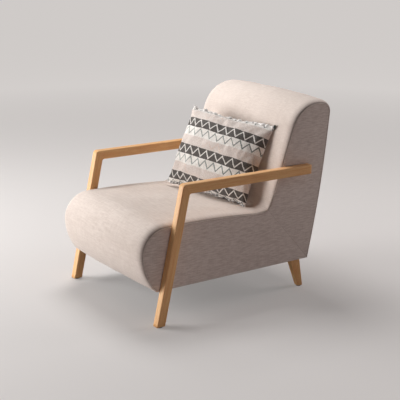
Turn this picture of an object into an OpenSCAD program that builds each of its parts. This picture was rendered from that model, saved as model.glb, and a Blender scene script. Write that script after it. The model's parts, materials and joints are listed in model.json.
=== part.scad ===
// Fireside chair: an upholstered seat and back in one body, carried by two oak arm frames
// at the front and two tapered oak legs at the back, with a loose scatter cushion.
// The origin is on the floor under the middle of the chair. +Z is up, -Y is the front and
// +X is the sitter's left. A distance named _s is measured backwards from the nose, which
// is the foremost point of the side seam.

/* [Body] */
// Width of the chair over both arms
overall_w = 700; // [640:1:800]
// Height of the body's underside above the floor
ground_clear = 132; // [115:1:160]
// Height of the side seam at the front of the seat
seat_front_z = 381; // [350:1:410]
// Radius of the front roll, above the nose
nose_r = 100; // [85:1:115]
// Radius of the front below the nose
under_r = 220; // [190:1:260]
// Distance of the crease behind the nose
crease_s = 592; // [540:1:640]
// Height of the crease, where the seat and the back planes meet
crease_z = 362; // [340:1:380]
// Radius of the side seam in the crease
crease_r = 50; // [35:1:65]
// Angle of the inside back from upright
back_rake = 19.5; // [14:0.5:25]
// Height of the side seam at the top of the back
crest_z = 779; // [720:1:840]
// Radius of the roll over the top of the back
roll_r = 130; // [110:1:145]
// Slope at which the top runs into the rear corner
shoulder_slope = 19; // [12:1:26]
// Radius of the rear top corner
corner_r = 35; // [25:1:45]
// Distance of the rear bottom edge behind the nose
rear_bottom_s = 797; // [770:1:830]
// Rise of the seat line above a straight line
seat_bow = 6; // [0:1:12]
// Swell of the rear line behind a straight line
rear_bow = 10; // [0:1:16]

/* [Upholstery] */
// Thickness of the fabric with its backing
cover_t = 2; // [1:0.1:3]
// Height that the bands rise within their rounded edge
edge_rise = 12; // [6:1:18]
// Width of the rounded edge of the bands
edge_run = 26; // [18:1:40]
// Further height of the bands at the middle of the chair
crown = 10; // [4:1:18]
// Thickness of the seat and back foam, with the fabric
foam_t = 52; // [40:1:60]
// Thickness of the foam where it ends under the front
foam_low_t = 16; // [12:1:24]
// Thickness of the rear pad, with the fabric
rear_pad_t = 12; // [10:1:16]
// Thickness of the side pads
side_pad_t = 8; // [5:0.5:12]
// Width of the fabric turned in under the body
return_w = 18; // [12:1:20]
// Thickness of the dust cover
dust_t = 1; // [0.6:0.1:1.1]
// Thickness of the felt on the springs and of the webbing
felt_t = 2; // [1:0.1:2.5]
// Width of one webbing strap
strap_w = 50; // [30:1:60]
// Number of webbing straps
strap_count = 4; // [2:1:4]

/* [Arms and front legs] */
// Width of the oak in the arms and the front legs
arm_t = 33; // [26:1:42]
// Gap between an arm and the side of the body
side_gap = 5; // [2:0.5:10]
// Height of the arm's front top corner
arm_top_z = 547; // [520:1:580]
// Distance of the arm's front top corner behind the nose
arm_front_s = 160; // [140:1:175]
// Distance of the arm's rear end behind the nose
arm_end_s = 776; // [760:1:800]
// Drop of the arm's top along its length
arm_drop = 7; // [0:1:14]
// Depth of the arm
arm_depth = 38; // [32:1:44]
// Front of the front foot behind the nose
foot_s = 35; // [20:1:50]
// Depth of the front leg, measured level
leg_depth = 37; // [32:1:42]
// Radius at the arm's front top corner
arm_corner_r = 12; // [6:1:16]
// Radius of the fillet between the leg and the arm, on the inner side
fillet_r = 9; // [4:1:14]
// Radius along the edges of the oak
ease_r = 3; // [1:0.5:5]
// Radius of the mitre dowels
dowel_r = 4; // [3:0.5:5]
// Length of the mitre dowels
dowel_len = 30; // [20:1:34]

/* [Rear legs] */
// Front of the rear leg's top behind the nose
rear_leg_s = 717; // [700:1:722]
// Depth of the rear leg at its top
rear_leg_d = 46; // [40:1:50]
// Width of the rear leg at its top
rear_leg_w = 32; // [28:1:36]
// Inset of the rear leg's top from the side of the body
rear_leg_inset = 9; // [6:1:20]
// Distance of the rear foot's front behind the front of the leg's top
rear_foot_back = 56; // [28:1:68]
// Depth of the rear foot
rear_foot_d = 24; // [20:1:34]
// Width of the rear foot
rear_foot_w = 25; // [20:1:30]
// Inset of the rear foot beyond its leg's top
rear_foot_inset = 17; // [0:1:23]

/* [Glides] */
// Thickness of the glides
glide_t = 3; // [2:0.5:6]
// Radius of the front glides
front_glide_r = 13; // [8:0.5:15]
// Radius of the rear glides
rear_glide_r = 10; // [7:0.5:11]
// Radius of the glides' nails
nail_r = 1.2; // [0.8:0.1:2]
// Length of the glides' nails
nail_len = 15; // [8:1:20]

/* [Inner frame] */
// Thickness of the plywood side frames
panel_t = 18; // [15:1:24]
// Thickness of the rails
rail_t = 20; // [18:1:22]
// Height of the lower rails
rail_h = 60; // [50:1:62]
// Height of the two rails that carry the springs
spring_rail_h = 45; // [35:1:48]
// Width of the rail under the top of the back
top_rail_w = 44; // [30:1:50]
// Width of the corner blocks
block_w = 40; // [36:1:50]
// Length of the front corner blocks
front_block_l = 40; // [30:1:60]
// Thickness of the middle stretcher
stretcher_t = 24; // [18:1:32]
// Height of the middle stretcher
stretcher_h = 50; // [36:1:56]

/* [Springs] */
// Number of zigzag springs
spring_count = 5; // [3:1:6]
// Distance of the outer springs' middles from the side frames
spring_margin = 73; // [60:1:90]
// Thickness of the spring wire
wire_t = 3.6; // [3:0.1:4]
// Width of a spring
spring_w = 50; // [40:1:60]
// Number of bars in a spring
bar_count = 18; // [12:1:20]
// Thickness of the clips' steel
clip_t = 1; // [0.8:0.1:1.2]
// Width of a clip
clip_w = 20; // [14:1:26]
// Depth of a clip along the spring
clip_depth = 14; // [10:1:16]

/* [Fasteners] */
// Radius of the bolts
bolt_r = 4; // [3:0.5:5]
// Radius of the bolt heads
bolt_head_r = 6.5; // [6:0.5:8]
// Thickness of the bolt heads
bolt_head_t = 4; // [3:0.5:5]
// Radius of the washers
washer_r = 9; // [8:0.5:10]
// Thickness of the washers
washer_t = 1.6; // [1:0.1:2]
// Radius of the spacers between the body and the oak
spacer_r = 11; // [8:0.5:14]
// Radius of the threaded inserts
insert_r = 6; // [5.5:0.5:7]
// Length of the threaded inserts
insert_len = 13; // [9:1:15]
// Height of the lower bolt in each front leg
leg_bolt_z = 210; // [206:1:220]
// Spacing of the two bolts in each front leg
leg_bolt_gap = 52; // [40:1:54]
// Distance of the first bolt in each arm behind the nose
arm_bolt_s = 723; // [718:1:728]
// Spacing of the two bolts in each arm
arm_bolt_gap = 34; // [26:1:36]
// Radius of the frame screws
screw_r = 2.4; // [2:0.1:3]
// Length of the frame screws
screw_len = 45; // [35:1:60]
// Radius of the frame screws' heads
screw_head_r = 4.4; // [3.5:0.1:5]
// Thickness of the frame screws' heads
screw_head_t = 3; // [2:0.1:4]
// Thickness of the rear legs' plates
plate_t = 2.5; // [2:0.1:2.8]
// Length of the rear legs' plates
plate_l = 68; // [64:1:70]
// Width of the rear legs' plates
plate_w = 60; // [56:1:62]
// Length of the rear legs' bolts above the legs' tops
hanger_up = 12; // [10:1:16]
// Length of the rear legs' bolts in the legs
hanger_down = 36; // [24:1:50]
// Radius of the nuts on the plates
nut_r = 6.5; // [6:0.1:7]
// Height of the nuts on the plates
nut_h = 8; // [6:0.5:10]
// Radius of the plate screws
plate_screw_r = 1.9; // [1.6:0.1:2.2]
// Length of the plate screws
plate_screw_len = 14; // [10:1:18]
// Radius of the plate screws' heads
plate_head_r = 3.6; // [3:0.1:3.8]
// Thickness of the plate screws' heads
plate_head_t = 1.8; // [1.2:0.1:2]

/* [Cushion] */
// Width of the cushion from corner to corner
cushion_w = 448; // [400:1:480]
// Height of the cushion from corner to corner
cushion_h = 336; // [300:1:360]
// Swell of the cushion's front panel
front_swell = 60; // [40:1:75]
// Swell of the cushion's back panel, which rests on the chair
back_swell = 40; // [25:1:50]
// Share of the width and height that the sides draw in
draw_in_share = 0.055; // [0.02:0.005:0.1]
// Thickness of the cushion's fabric
cloth_t = 1.2; // [0.8:0.1:2]
// Turn of the cushion about the upright
cushion_turn = 14.5; // [8:0.5:18]
// Lean of the cushion beyond the lean of the back
cushion_lean = 7; // [4:0.5:10]
// Tip of the cushion towards the sitter's left
cushion_tip = 4.5; // [2:0.5:6]
// Distance of the cushion's middle from the middle of the chair
cushion_x = 8; // [-40:1:30]

/* [Hidden] */
$fn = 48;

// Clearance between soft pieces that lie on each other
ease = 0.3;
// Radial clearance of pins and inserts in their holes
snug = 0.05;
// Clearance of the felt and the webbing on the frame
rest_gap = 0.2;
// Overrun of cuts
over = 1;
// Height of the inner frame above the body's underside
frame_lift = 3;
// Height of the rear legs' plates' underside above the body's underside
plate_lift = frame_lift - plate_t;
// Drop of the spring rails' tops below the frame's seat line
rail_drop = 7.2;
// Drop of the springs' tops below the frame's seat line
wire_drop = 2.4;
// Clearance of the holes round the spacers and of the dust cover's notches
notch_ease = 0.6;
// Radial clearance of the arm bolts in the frame, the washers and the spacers
bolt_ease = 0.1;
// Blind depth left beyond an insert
insert_rest = 2;
// Thickness of the space between the cushion's two panels at their seam
seam_gap = 0.3;

oak = [0.83, 0.62, 0.41];
plywood = [0.86, 0.74, 0.55];
pine = [0.9, 0.79, 0.6];
fabric = [0.82, 0.78, 0.73];
foam_colour = [0.95, 0.9, 0.75];
steel = [0.7, 0.7, 0.72];
brass = [0.8, 0.65, 0.35];
black_cloth = [0.12, 0.12, 0.13];
cushion_colour = [0.85, 0.83, 0.8];

function lerp(a, b, t) = a + (b - a) * t;
function ray(angle) = [cos(angle), sin(angle)];
function heading(v) = atan2(v[1], v[0]);

// Points of the rounding of a corner, run into at angle a and left at angle b.
function rounding(corner, a, b, r, steps) =
    let (side = sign(b - a),
         start = corner - r * tan(abs(b - a) / 2) * ray(a),
         hub = start + r * ray(a + 90 * side))
    [for (i = [0 : steps]) hub + r * ray(a - 90 * side + (b - a) * i / steps)];

// Points of an arc about a hub, without its first point.
function arc(hub, r, a, b, steps) = [for (i = [1 : steps]) hub + r * ray(lerp(a, b, i / steps))];

// Side seam, in distance behind the nose and height.
nose_z = seat_front_z - nose_r;
nose_hub = [nose_r, nose_z];
under_hub = [under_r, nose_z];
under_angle = asin((nose_z - ground_clear) / under_r);
front_bottom = under_hub + under_r * ray(180 + under_angle);
crease = [crease_s, crease_z];
crease_reach = crease - nose_hub;
seat_angle = heading(crease_reach) - asin(nose_r / norm(crease_reach));
back_angle = 90 - back_rake;
roll_run = (crest_z - roll_r + roll_r * cos(back_angle) - crease_z) / sin(back_angle);
roll_hub = crease + roll_run * ray(back_angle) + roll_r * ray(back_angle - 90);
corner_hub = roll_hub + (roll_r - corner_r) * ray(90 - shoulder_slope);
rear_bottom = [rear_bottom_s, ground_clear];
rear_reach = corner_hub - rear_bottom;
rear_facing = heading(rear_reach) - 90 - asin(corner_r / norm(rear_reach));
rear_top = corner_hub + corner_r * ray(rear_facing);

// Steps that each stretch of the seam is drawn in.
under_steps = 7;
nose_steps = 7;
seat_steps = 5;
crease_steps = 6;
back_steps = 3;
roll_steps = 7;
shoulder_steps = 1;
corner_steps = 5;
rear_steps = 5;

crease_arc = rounding(crease, seat_angle, back_angle, crease_r, crease_steps);
seat_start = nose_hub + nose_r * ray(90 + seat_angle);
back_end = roll_hub + roll_r * ray(back_angle + 90);

under_pts = concat([front_bottom], arc(under_hub, under_r, 180 + under_angle, 180, under_steps));
nose_pts = arc(nose_hub, nose_r, 180, 90 + seat_angle, nose_steps);
seat_pts = [for (i = [1 : seat_steps])
    lerp(seat_start, crease_arc[0], i / seat_steps)
    + seat_bow * sin(180 * i / seat_steps) * ray(90 + seat_angle)];
half_crease = crease_steps / 2;
crease_low_pts = [for (i = [1 : half_crease]) crease_arc[i]];
crease_high_pts = [for (i = [half_crease + 1 : crease_steps]) crease_arc[i]];
back_pts = [for (i = [1 : back_steps]) lerp(crease_arc[crease_steps], back_end, i / back_steps)];
roll_pts = arc(roll_hub, roll_r, back_angle + 90, 90, roll_steps);
shoulder_pts = arc(roll_hub, roll_r, 90, 90 - shoulder_slope, shoulder_steps);
corner_pts = arc(corner_hub, corner_r, 90 - shoulder_slope, rear_facing, corner_steps);
rear_pts = [for (i = [1 : rear_steps])
    lerp(rear_top, rear_bottom, i / rear_steps) + rear_bow * sin(180 * i / rear_steps) * ray(rear_facing)];
front_return = front_bottom + [return_w, 0];
rear_return = rear_bottom - [return_w, 0];

loop = concat([front_return], under_pts, nose_pts, seat_pts, crease_low_pts, crease_high_pts,
    back_pts, roll_pts, shoulder_pts, corner_pts, rear_pts, [rear_return]);
first_front = 1;
end_under = first_front + under_steps;
end_nose = end_under + nose_steps;
end_seat = end_nose + seat_steps;
mid_crease = end_seat + half_crease;
end_crease = end_seat + crease_steps;
end_back = end_crease + back_steps;
end_roll = end_back + roll_steps;
end_corner = end_roll + shoulder_steps + corner_steps;
end_rear = end_corner + rear_steps;
last_point = end_rear + 1;

// Outward normal of the seam at one of its points, from its neighbours.
function facing(i) =
    let (v = loop[min(i + 1, last_point)] - loop[max(i - 1, 0)])
    [-v[1], v[0]] / norm(v);

// Share of the crown that the bands have at each turn of the seam.
edge_share = 0;
under_share = 0.35;
full_share = 1;
crease_share = 0.55;
back_share = 0.85;
rear_share = 0.4;
function crown_share(i) =
    i <= first_front ? edge_share :
    i <= end_under ? lerp(under_share, full_share, (i - first_front) / under_steps) :
    i <= end_nose ? full_share :
    i <= end_seat ? lerp(full_share, crease_share, (i - end_nose) / seat_steps) :
    i <= end_crease ? crease_share :
    i <= end_back ? lerp(crease_share, back_share, (i - end_crease) / back_steps) :
    i <= end_roll ? lerp(back_share, full_share, (i - end_back) / roll_steps) :
    i <= end_corner ? lerp(full_share, rear_share, (i - end_roll) / (end_corner - end_roll)) :
    i < end_rear ? rear_share : edge_share;

// Widths, from the middle of the chair outwards.
arm_inner_x = overall_w / 2 - arm_t;
side_x = arm_inner_x - side_gap;
band_x = side_x - cover_t;
pad_outer_x = band_x - ease;
pad_inner_x = pad_outer_x - side_pad_t;
frame_x = pad_inner_x - ease;
frame_inner_x = frame_x - panel_t;

// Rise of the bands above the seam at a distance from the middle.
function band_rise(x) =
    let (run = min(1, max(0, band_x - abs(x)) / edge_run))
    edge_rise * sqrt(1 - pow(1 - run, 2)) + crown * (1 - pow(min(1, abs(x) / band_x), 2));

// Places across a band: close together at its rounded edges.
edge_angles = [0, 30, 55, 80];
inner_shares = [0.82, 0.45, 0];
function half_stations(x) = concat(
    [for (a = edge_angles) x - edge_run * (1 - cos(a))],
    [for (s = inner_shares) (x - edge_run) * s]);
function stations(x) =
    let (half = half_stations(x), n = len(half))
    concat([for (i = [0 : n - 1]) -half[i]], [for (i = [n - 2 : -1 : 0]) half[i]]);

// The rise between two places lies on the straight facet between them, so that what lies
// under a band follows its facets.
rise_table = [for (x = stations(band_x)) [x, band_rise(x)]];

// A row of points of the seam, moved out by the band's rise less a depth.
function band_row(x, first, last, depth) =
    [for (i = [first : last])
        let (p = loop[i] + facing(i) * (lookup(x, rise_table) * crown_share(i) - depth))
        [x, p[0], p[1]]];

// Places of the bands that lie within a width, and that width's own edges.
function places_within(x) = concat([-x], [for (p = stations(band_x)) if (abs(p) < x) p], [x]);

// Outline of the inner frame, behind the foam.
frame_bottom_z = ground_clear + frame_lift;
frame_top_z = crest_z - foam_t;
function foam_depth(i) = i <= end_under
    ? lerp(foam_low_t, foam_t, (i - first_front) / under_steps) : foam_t;
function frame_point(i, lift) = loop[i] - facing(i) * (foam_depth(i) - lift);
rear_slope = tan(-rear_facing);
function rear_frame_s(z) =
    rear_bottom_s + (z - ground_clear) * rear_slope - rear_pad_t / cos(rear_facing);
frame_front_pts = [for (i = [first_front : end_roll]) frame_point(i, 0)];
frame_outline = concat([[frame_front_pts[0][0], frame_bottom_z]], frame_front_pts,
    [[rear_frame_s(frame_top_z), frame_top_z], [rear_frame_s(frame_bottom_z), frame_bottom_z]]);

// Places in the seat's and the back's own directions, from the frame's seat line and from
// the inside back's seam line.
seat_root = nose_hub + (nose_r - foam_t) * ray(90 + seat_angle);
function seat_at(along, up) = seat_root + along * ray(seat_angle) + up * ray(seat_angle + 90);
function back_at(depth, up) = crease + depth * ray(back_angle - 90) + up * ray(back_angle);

// Places of the rails.
front_rail_s = front_bottom[0] + foam_low_t;
rear_rail_s = rear_frame_s(frame_bottom_z) - rail_t - ease;
spring_front = -rail_t / 4;
spring_rear = (crease_s - nose_r) * cos(seat_angle);
spring_pitch = 2 * (frame_inner_x - spring_margin) / (spring_count - 1);
lumbar_up = rail_t;
lumbar_depth = foam_t + ease;
// The straps share the straight part of the inside back.
strap_low = (crease_r + foam_t) * tan((back_angle - seat_angle) / 2) + strap_w / 2 + ease;
strap_high = roll_run - strap_w / 2 - ease;
top_rail_s = roll_hub[0] - rail_t / 2;

// Middle of the chair along its depth, so that the origin is under the middle of its box.
cover_reach = [for (i = [0 : last_point]) loop[i][0] + facing(i)[0] * band_rise(0) * crown_share(i)];
middle_s = (min(cover_reach) + max(cover_reach)) / 2;

// Arm frame, in distance behind the nose and height.
foot_front = [foot_s, 0];
arm_corner = [arm_front_s, arm_top_z];
leg_angle = heading(arm_corner - foot_front);
arm_end = [arm_end_s, arm_top_z - arm_drop];
arm_angle = heading(arm_end - arm_corner);
arm_length = norm(arm_end - arm_corner);
leg_section = leg_depth * sin(leg_angle);
corner_steps_arm = 8;
arm_corner_arc = rounding(arm_corner, leg_angle, arm_angle, arm_corner_r, corner_steps_arm);
mitre_turn = (leg_angle - arm_angle) / 2;
// The inner corner lies where the leg's rear line and the arm's lower line meet.
inner_run = (arm_depth - leg_section * cos(2 * mitre_turn)) / sin(2 * mitre_turn);
inner_corner = arm_corner + leg_section * ray(leg_angle - 90) - inner_run * ray(leg_angle);
function leg_line(z) = foot_s + z / tan(leg_angle);
function leg_middle(z) = leg_line(z) + leg_depth / 2;
function arm_middle_z(s) = arm_top_z + (s - arm_front_s) * tan(arm_angle) - arm_depth / 2;
leg_outline = concat([[leg_line(glide_t), glide_t]],
    [for (i = [0 : corner_steps_arm / 2]) arm_corner_arc[i]],
    [inner_corner, [leg_line(glide_t) + leg_depth, glide_t]]);
arm_outline = concat([for (i = [corner_steps_arm / 2 : corner_steps_arm]) arm_corner_arc[i]],
    [arm_end, arm_end - [0, arm_depth / cos(arm_angle)], inner_corner]);
mitre_middle = (arm_corner_arc[corner_steps_arm / 2] + inner_corner) / 2;
fillet_arc = rounding(inner_corner, leg_angle, arm_angle, fillet_r, corner_steps_arm);
leg_fillet = concat([mitre_middle, inner_corner],
    [for (i = [corner_steps_arm / 2 : -1 : 0]) fillet_arc[i]]);
arm_fillet = concat([mitre_middle, inner_corner],
    [for (i = [corner_steps_arm / 2 : corner_steps_arm]) fillet_arc[i]]);
dowel_angle = heading(inner_corner - arm_corner_arc[corner_steps_arm / 2]) + 90;
leg_bolts_at = [for (z = [leg_bolt_z, leg_bolt_z + leg_bolt_gap]) [leg_middle(z), z]];
arm_bolts_at = [for (s = [arm_bolt_s, arm_bolt_s + arm_bolt_gap]) [s, arm_middle_z(s)]];
bolts_at = concat(leg_bolts_at, arm_bolts_at);

// Rear legs and their plates.
rear_leg_x = side_x - rear_leg_inset;
rear_foot_x = rear_leg_x - rear_foot_inset;
rear_foot_s = rear_leg_s + rear_foot_back;
leg_top_z = ground_clear + plate_lift;
plate_x = [rear_leg_x - plate_w, rear_leg_x];
plate_s = [rear_leg_s + (rear_leg_d - plate_l) / 2, rear_leg_s + (rear_leg_d + plate_l) / 2];
hanger_at = [rear_leg_x - rear_leg_w / 2, rear_leg_s + rear_leg_d / 2 + bolt_r];
plate_screw_x = [plate_x[0] + 2 * plate_head_r, plate_x[1] - 2 * plate_head_r];
plate_screw_s = [plate_s[0] + plate_head_r + ease, plate_s[1] - plate_head_r - ease];
foot_middle = [rear_foot_x - rear_foot_w / 2, rear_foot_s + rear_foot_d / 2];

// Turns an outline of distance and height into a solid between two distances from the
// middle of the chair.
module across(from_x, to_x) {
    translate([from_x, 0, 0])
        rotate([90, 0, 90])
            linear_extrude(to_x - from_x) children();
}

// Brings what is measured from the nose to the origin under the chair's middle.
module chair() {
    translate([0, -middle_s, 0]) children();
}

// The sitter's left side as drawn, or its mirror image on the right.
module on_side(side) {
    mirror([side < 0 ? 1 : 0, 0, 0]) children();
}

// A round bar along the width, from one distance from the middle to another.
module bar_across(place, r, from_x, to_x) {
    translate([from_x, place[0], place[1]])
        rotate([0, 90, 0])
            cylinder(h = to_x - from_x, r = r);
}

// A box that lies in the seat's own direction, or in the back's.
module seat_box(along, up, size) {
    place = seat_at(along, up);
    translate([0, place[0], place[1]])
        rotate([seat_angle, 0, 0])
            translate([-size[0] / 2, 0, 0]) cube(size);
}

module back_box(depth, up, size) {
    place = back_at(depth, up);
    translate([0, place[0], place[1]])
        rotate([back_angle - 90, 0, 0])
            translate([-size[0] / 2, 0, 0]) cube(size);
}

// Closed solid between two grids of points, each a list of rows across the chair.
module between(outer, inner) {
    rows = len(outer);
    cols = len(outer[0]);
    all = rows * cols;
    function at(i, j) = i * cols + j;
    points = concat([for (row = outer) each row], [for (row = inner) each row]);
    skins = [for (i = [0 : rows - 2]) for (j = [0 : cols - 2])
        let (a = at(i, j), b = at(i + 1, j), c = at(i + 1, j + 1), d = at(i, j + 1))
        each [[a, d, c], [a, c, b], [a + all, c + all, d + all], [a + all, b + all, c + all]]];
    row_rims = [for (i = [0 : rows - 2])
        let (a = at(i, 0), b = at(i + 1, 0), c = at(i + 1, cols - 1), d = at(i, cols - 1))
        each [[a, b, b + all], [a, b + all, a + all], [c, d, d + all], [c, d + all, c + all]]];
    col_rims = [for (j = [0 : cols - 2])
        let (a = at(0, j), d = at(0, j + 1), b = at(rows - 1, j), c = at(rows - 1, j + 1))
        each [[d, a, a + all], [d, a + all, d + all], [b, c, c + all], [b, c + all, b + all]]];
    polyhedron(points, concat(skins, row_rims, col_rims));
}

// A band of fabric along the seam, from one of its points to another.
module band(first, last) {
    places = stations(band_x);
    between([for (x = places) band_row(x, first, last, 0)],
        [for (x = places) band_row(x, first, last, cover_t)]);
}

// Foam under the bands, down to the felt or the webbing. Its inner points lie on the
// frame's outline, and on its level top past the crest.
function foam_inner(i) = i <= end_roll
    ? frame_point(i, felt_t + 2 * rest_gap)
    : [lerp(roll_hub[0], rear_frame_s(frame_top_z), (i - end_roll) / (end_corner - end_roll)),
        frame_top_z + felt_t + 2 * rest_gap];

module foam(first, last) {
    places = places_within(frame_x);
    between([for (x = places) band_row(x, first, last, cover_t + ease)],
        [for (x = places) [for (i = [first : last]) let (p = foam_inner(i)) [x, p[0], p[1]]]]);
}

// Solid oak bar with eased edges, cut to an outline of the arm frame, with its half of the
// fillet between the leg and the arm.
module oak_bar(start, angle, run, section, outline, fillet) {
    reach = 2 * section;
    middle = start + section / 2 * ray(angle - 90) - reach * ray(angle);
    intersection() {
        translate([arm_inner_x + arm_t / 2, middle[0], middle[1]])
            rotate([angle - 90, 0, 0])
                linear_extrude(run + 2 * reach) eased_section(arm_t, section, ease_r);
        across(arm_inner_x - over, arm_inner_x + arm_t + over) polygon(outline);
    }
    across(arm_inner_x + ease_r, arm_inner_x + arm_t - ease_r) polygon(fillet);
}

module eased_section(w, d, r) {
    square([w - 2 * r, d], center = true);
    square([w, d - 2 * r], center = true);
    for (sx = [-1, 1])
        for (sy = [-1, 1])
            translate([sx * (w / 2 - r), sy * (d / 2 - r)]) circle(r);
}

module insert_holes(places) {
    for (p = places)
        bar_across(p, insert_r + snug, arm_inner_x - over, arm_inner_x + insert_len + insert_rest);
}

module mitre_dowels(r, run) {
    for (sx = [-1, 1])
        translate([arm_inner_x + arm_t / 2 + sx * arm_t / 4, mitre_middle[0], mitre_middle[1]])
            rotate([dowel_angle - 90, 0, 0])
                cylinder(h = run, r = r, center = true);
}

module front_leg(side) {
    color(oak) chair() on_side(side)
        difference() {
            oak_bar(foot_front, leg_angle, norm(arm_corner - foot_front), leg_section, leg_outline,
                leg_fillet);
            insert_holes(leg_bolts_at);
            mitre_dowels(dowel_r + snug, dowel_len + 2 * snug);
            translate([arm_inner_x + arm_t / 2, leg_middle(glide_t), glide_t - over])
                cylinder(h = nail_len + over + rest_gap, r = nail_r + snug);
        }
}

module arm_rail(side) {
    color(oak) chair() on_side(side)
        difference() {
            oak_bar(arm_corner, arm_angle, arm_length, arm_depth, arm_outline, arm_fillet);
            insert_holes(arm_bolts_at);
            mitre_dowels(dowel_r + snug, dowel_len + 2 * snug);
        }
}

module arm_dowels() {
    color(pine) chair()
        for (side = [-1, 1]) on_side(side) mitre_dowels(dowel_r, dowel_len);
}

// Tapered in both directions, from a side outline and a front outline.
module rear_leg(side) {
    color(oak) chair() on_side(side)
        difference() {
            intersection() {
                across(0, side_x)
                    polygon([[rear_leg_s, leg_top_z], [rear_leg_s + rear_leg_d, leg_top_z],
                        [rear_foot_s + rear_foot_d, glide_t], [rear_foot_s, glide_t]]);
                translate([0, rear_bottom_s + rear_leg_d, 0])
                    rotate([90, 0, 0])
                        linear_extrude(rear_bottom_s)
                            polygon([[rear_leg_x - rear_leg_w, leg_top_z], [rear_leg_x, leg_top_z],
                                [rear_foot_x, glide_t], [rear_foot_x - rear_foot_w, glide_t]]);
            }
            translate([hanger_at[0], hanger_at[1], leg_top_z - hanger_down - rest_gap])
                cylinder(h = hanger_down + rest_gap + over, r = bolt_r);
            translate([foot_middle[0], foot_middle[1], glide_t - over])
                cylinder(h = nail_len + over + rest_gap, r = nail_r + snug);
        }
}

// A glide with its nail, standing on the floor.
module glide(r) {
    cylinder(h = glide_t, r = r);
    cylinder(h = glide_t + nail_len, r = nail_r);
}

module foot_glides() {
    color(black_cloth) chair()
        for (side = [-1, 1])
            on_side(side) {
                translate([arm_inner_x + arm_t / 2, leg_middle(glide_t), 0]) glide(front_glide_r);
                translate([foot_middle[0], foot_middle[1], 0]) glide(rear_glide_r);
            }
}

// Places of the frame screws, two in each rail's end.
function rail_pair(s, z, rise) = [[s, z - rise / 2], [s, z + rise / 2]];
screws_at = concat(
    rail_pair(front_rail_s + rail_t / 2, frame_bottom_z + rail_h / 2, rail_h / 2),
    rail_pair(rear_rail_s + rail_t / 2, frame_bottom_z + rail_h / 2, rail_h / 2),
    [for (along = [spring_front, spring_rear]) for (share = [0.3, 0.7])
        seat_at(along + rail_t / 2, -rail_drop - spring_rail_h * share)],
    [for (share = [0.25, 0.75]) back_at(lumbar_depth + rail_t / 2, lumbar_up + rail_h * share)],
    [for (share = [0.25, 0.75]) [top_rail_s + top_rail_w * share, frame_top_z - ease - rail_t / 2]]);

module screw_holes() {
    for (p = screws_at) {
        bar_across(p, screw_r + snug, frame_x - screw_len - rest_gap, frame_x + over);
        bar_across(p, screw_head_r + snug, frame_x - screw_head_t - rest_gap, frame_x + over);
    }
}

module frame_screws() {
    color(steel) chair()
        for (side = [-1, 1])
            on_side(side)
                for (p = screws_at) {
                    bar_across(p, screw_r, frame_x - screw_len, frame_x - rest_gap);
                    bar_across(p, screw_head_r, frame_x - screw_head_t, frame_x - rest_gap);
                }
}

// Space for a rear leg's bolt and nut above its plate.
module nut_well() {
    translate([hanger_at[0], hanger_at[1], frame_bottom_z - over])
        cylinder(h = hanger_up + 2 * over, r = nut_r + ease);
}

module plate_screw_holes() {
    for (x = plate_screw_x)
        for (s = plate_screw_s)
            translate([x, s, leg_top_z - over])
                cylinder(h = plate_screw_len + over + rest_gap, r = plate_screw_r + snug);
}

module side_frame(side) {
    color(plywood) chair() on_side(side)
        difference() {
            across(frame_inner_x, frame_x) polygon(frame_outline);
            for (p = bolts_at) bar_across(p, bolt_r + bolt_ease, frame_inner_x - over, frame_x + over);
            screw_holes();
            nut_well();
            plate_screw_holes();
        }
}

module rail(holes) {
    color(pine) chair()
        difference() {
            children();
            if (holes)
                for (side = [-1, 1])
                    on_side(side) {
                        screw_holes();
                        plate_screw_holes();
                    }
        }
}

module front_bottom_rail() {
    rail(true) translate([-frame_inner_x, front_rail_s, frame_bottom_z])
        cube([2 * frame_inner_x, rail_t, rail_h]);
}

module rear_bottom_rail() {
    rail(true) translate([-frame_inner_x, rear_rail_s, frame_bottom_z])
        cube([2 * frame_inner_x, rail_t, rail_h]);
}

module spring_rail(along) {
    rail(true) seat_box(along, -rail_drop - spring_rail_h, [2 * frame_inner_x, rail_t, spring_rail_h]);
}

module lumbar_rail() {
    rail(true) back_box(lumbar_depth, lumbar_up, [2 * frame_inner_x, rail_t, rail_h]);
}

module back_top_rail() {
    rail(true) translate([-frame_inner_x, top_rail_s, frame_top_z - ease - rail_t])
        cube([2 * frame_inner_x, top_rail_w, rail_t]);
}

module middle_stretcher() {
    rail(false)
        translate([-stretcher_t / 2, front_rail_s + rail_t, frame_bottom_z])
            cube([stretcher_t, rear_rail_s - front_rail_s - rail_t, stretcher_h]);
}

module corner_blocks() {
    rear_block_l = rear_rail_s - plate_s[0];
    color(pine) chair()
        for (side = [-1, 1])
            on_side(side)
                difference() {
                    union() {
                        translate([frame_inner_x - block_w, front_rail_s + rail_t, frame_bottom_z])
                            cube([block_w, front_block_l, rail_h]);
                        translate([frame_inner_x - block_w, plate_s[0], frame_bottom_z])
                            cube([block_w, rear_block_l, rail_h]);
                    }
                    nut_well();
                    plate_screw_holes();
                }
}

module threaded_inserts() {
    color(brass) chair()
        for (side = [-1, 1])
            on_side(side)
                for (p = bolts_at)
                    difference() {
                        bar_across(p, insert_r, arm_inner_x, arm_inner_x + insert_len);
                        bar_across(p, bolt_r, arm_inner_x - over, arm_inner_x + insert_len + over);
                    }
}

module arm_bolts() {
    head_x = frame_inner_x - washer_t;
    color(steel) chair()
        for (side = [-1, 1])
            on_side(side)
                for (p = bolts_at) {
                    bar_across(p, bolt_head_r, head_x - bolt_head_t, head_x);
                    bar_across(p, bolt_r - snug, head_x - bolt_head_t / 2, arm_inner_x + insert_len - over);
                }
}

module bolt_washers() {
    color(steel) chair()
        for (side = [-1, 1])
            on_side(side)
                for (p = bolts_at)
                    difference() {
                        bar_across(p, washer_r, frame_inner_x - washer_t, frame_inner_x);
                        bar_across(p, bolt_r + bolt_ease, frame_inner_x - 2 * washer_t,
                            frame_inner_x + washer_t);
                    }
}

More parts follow.
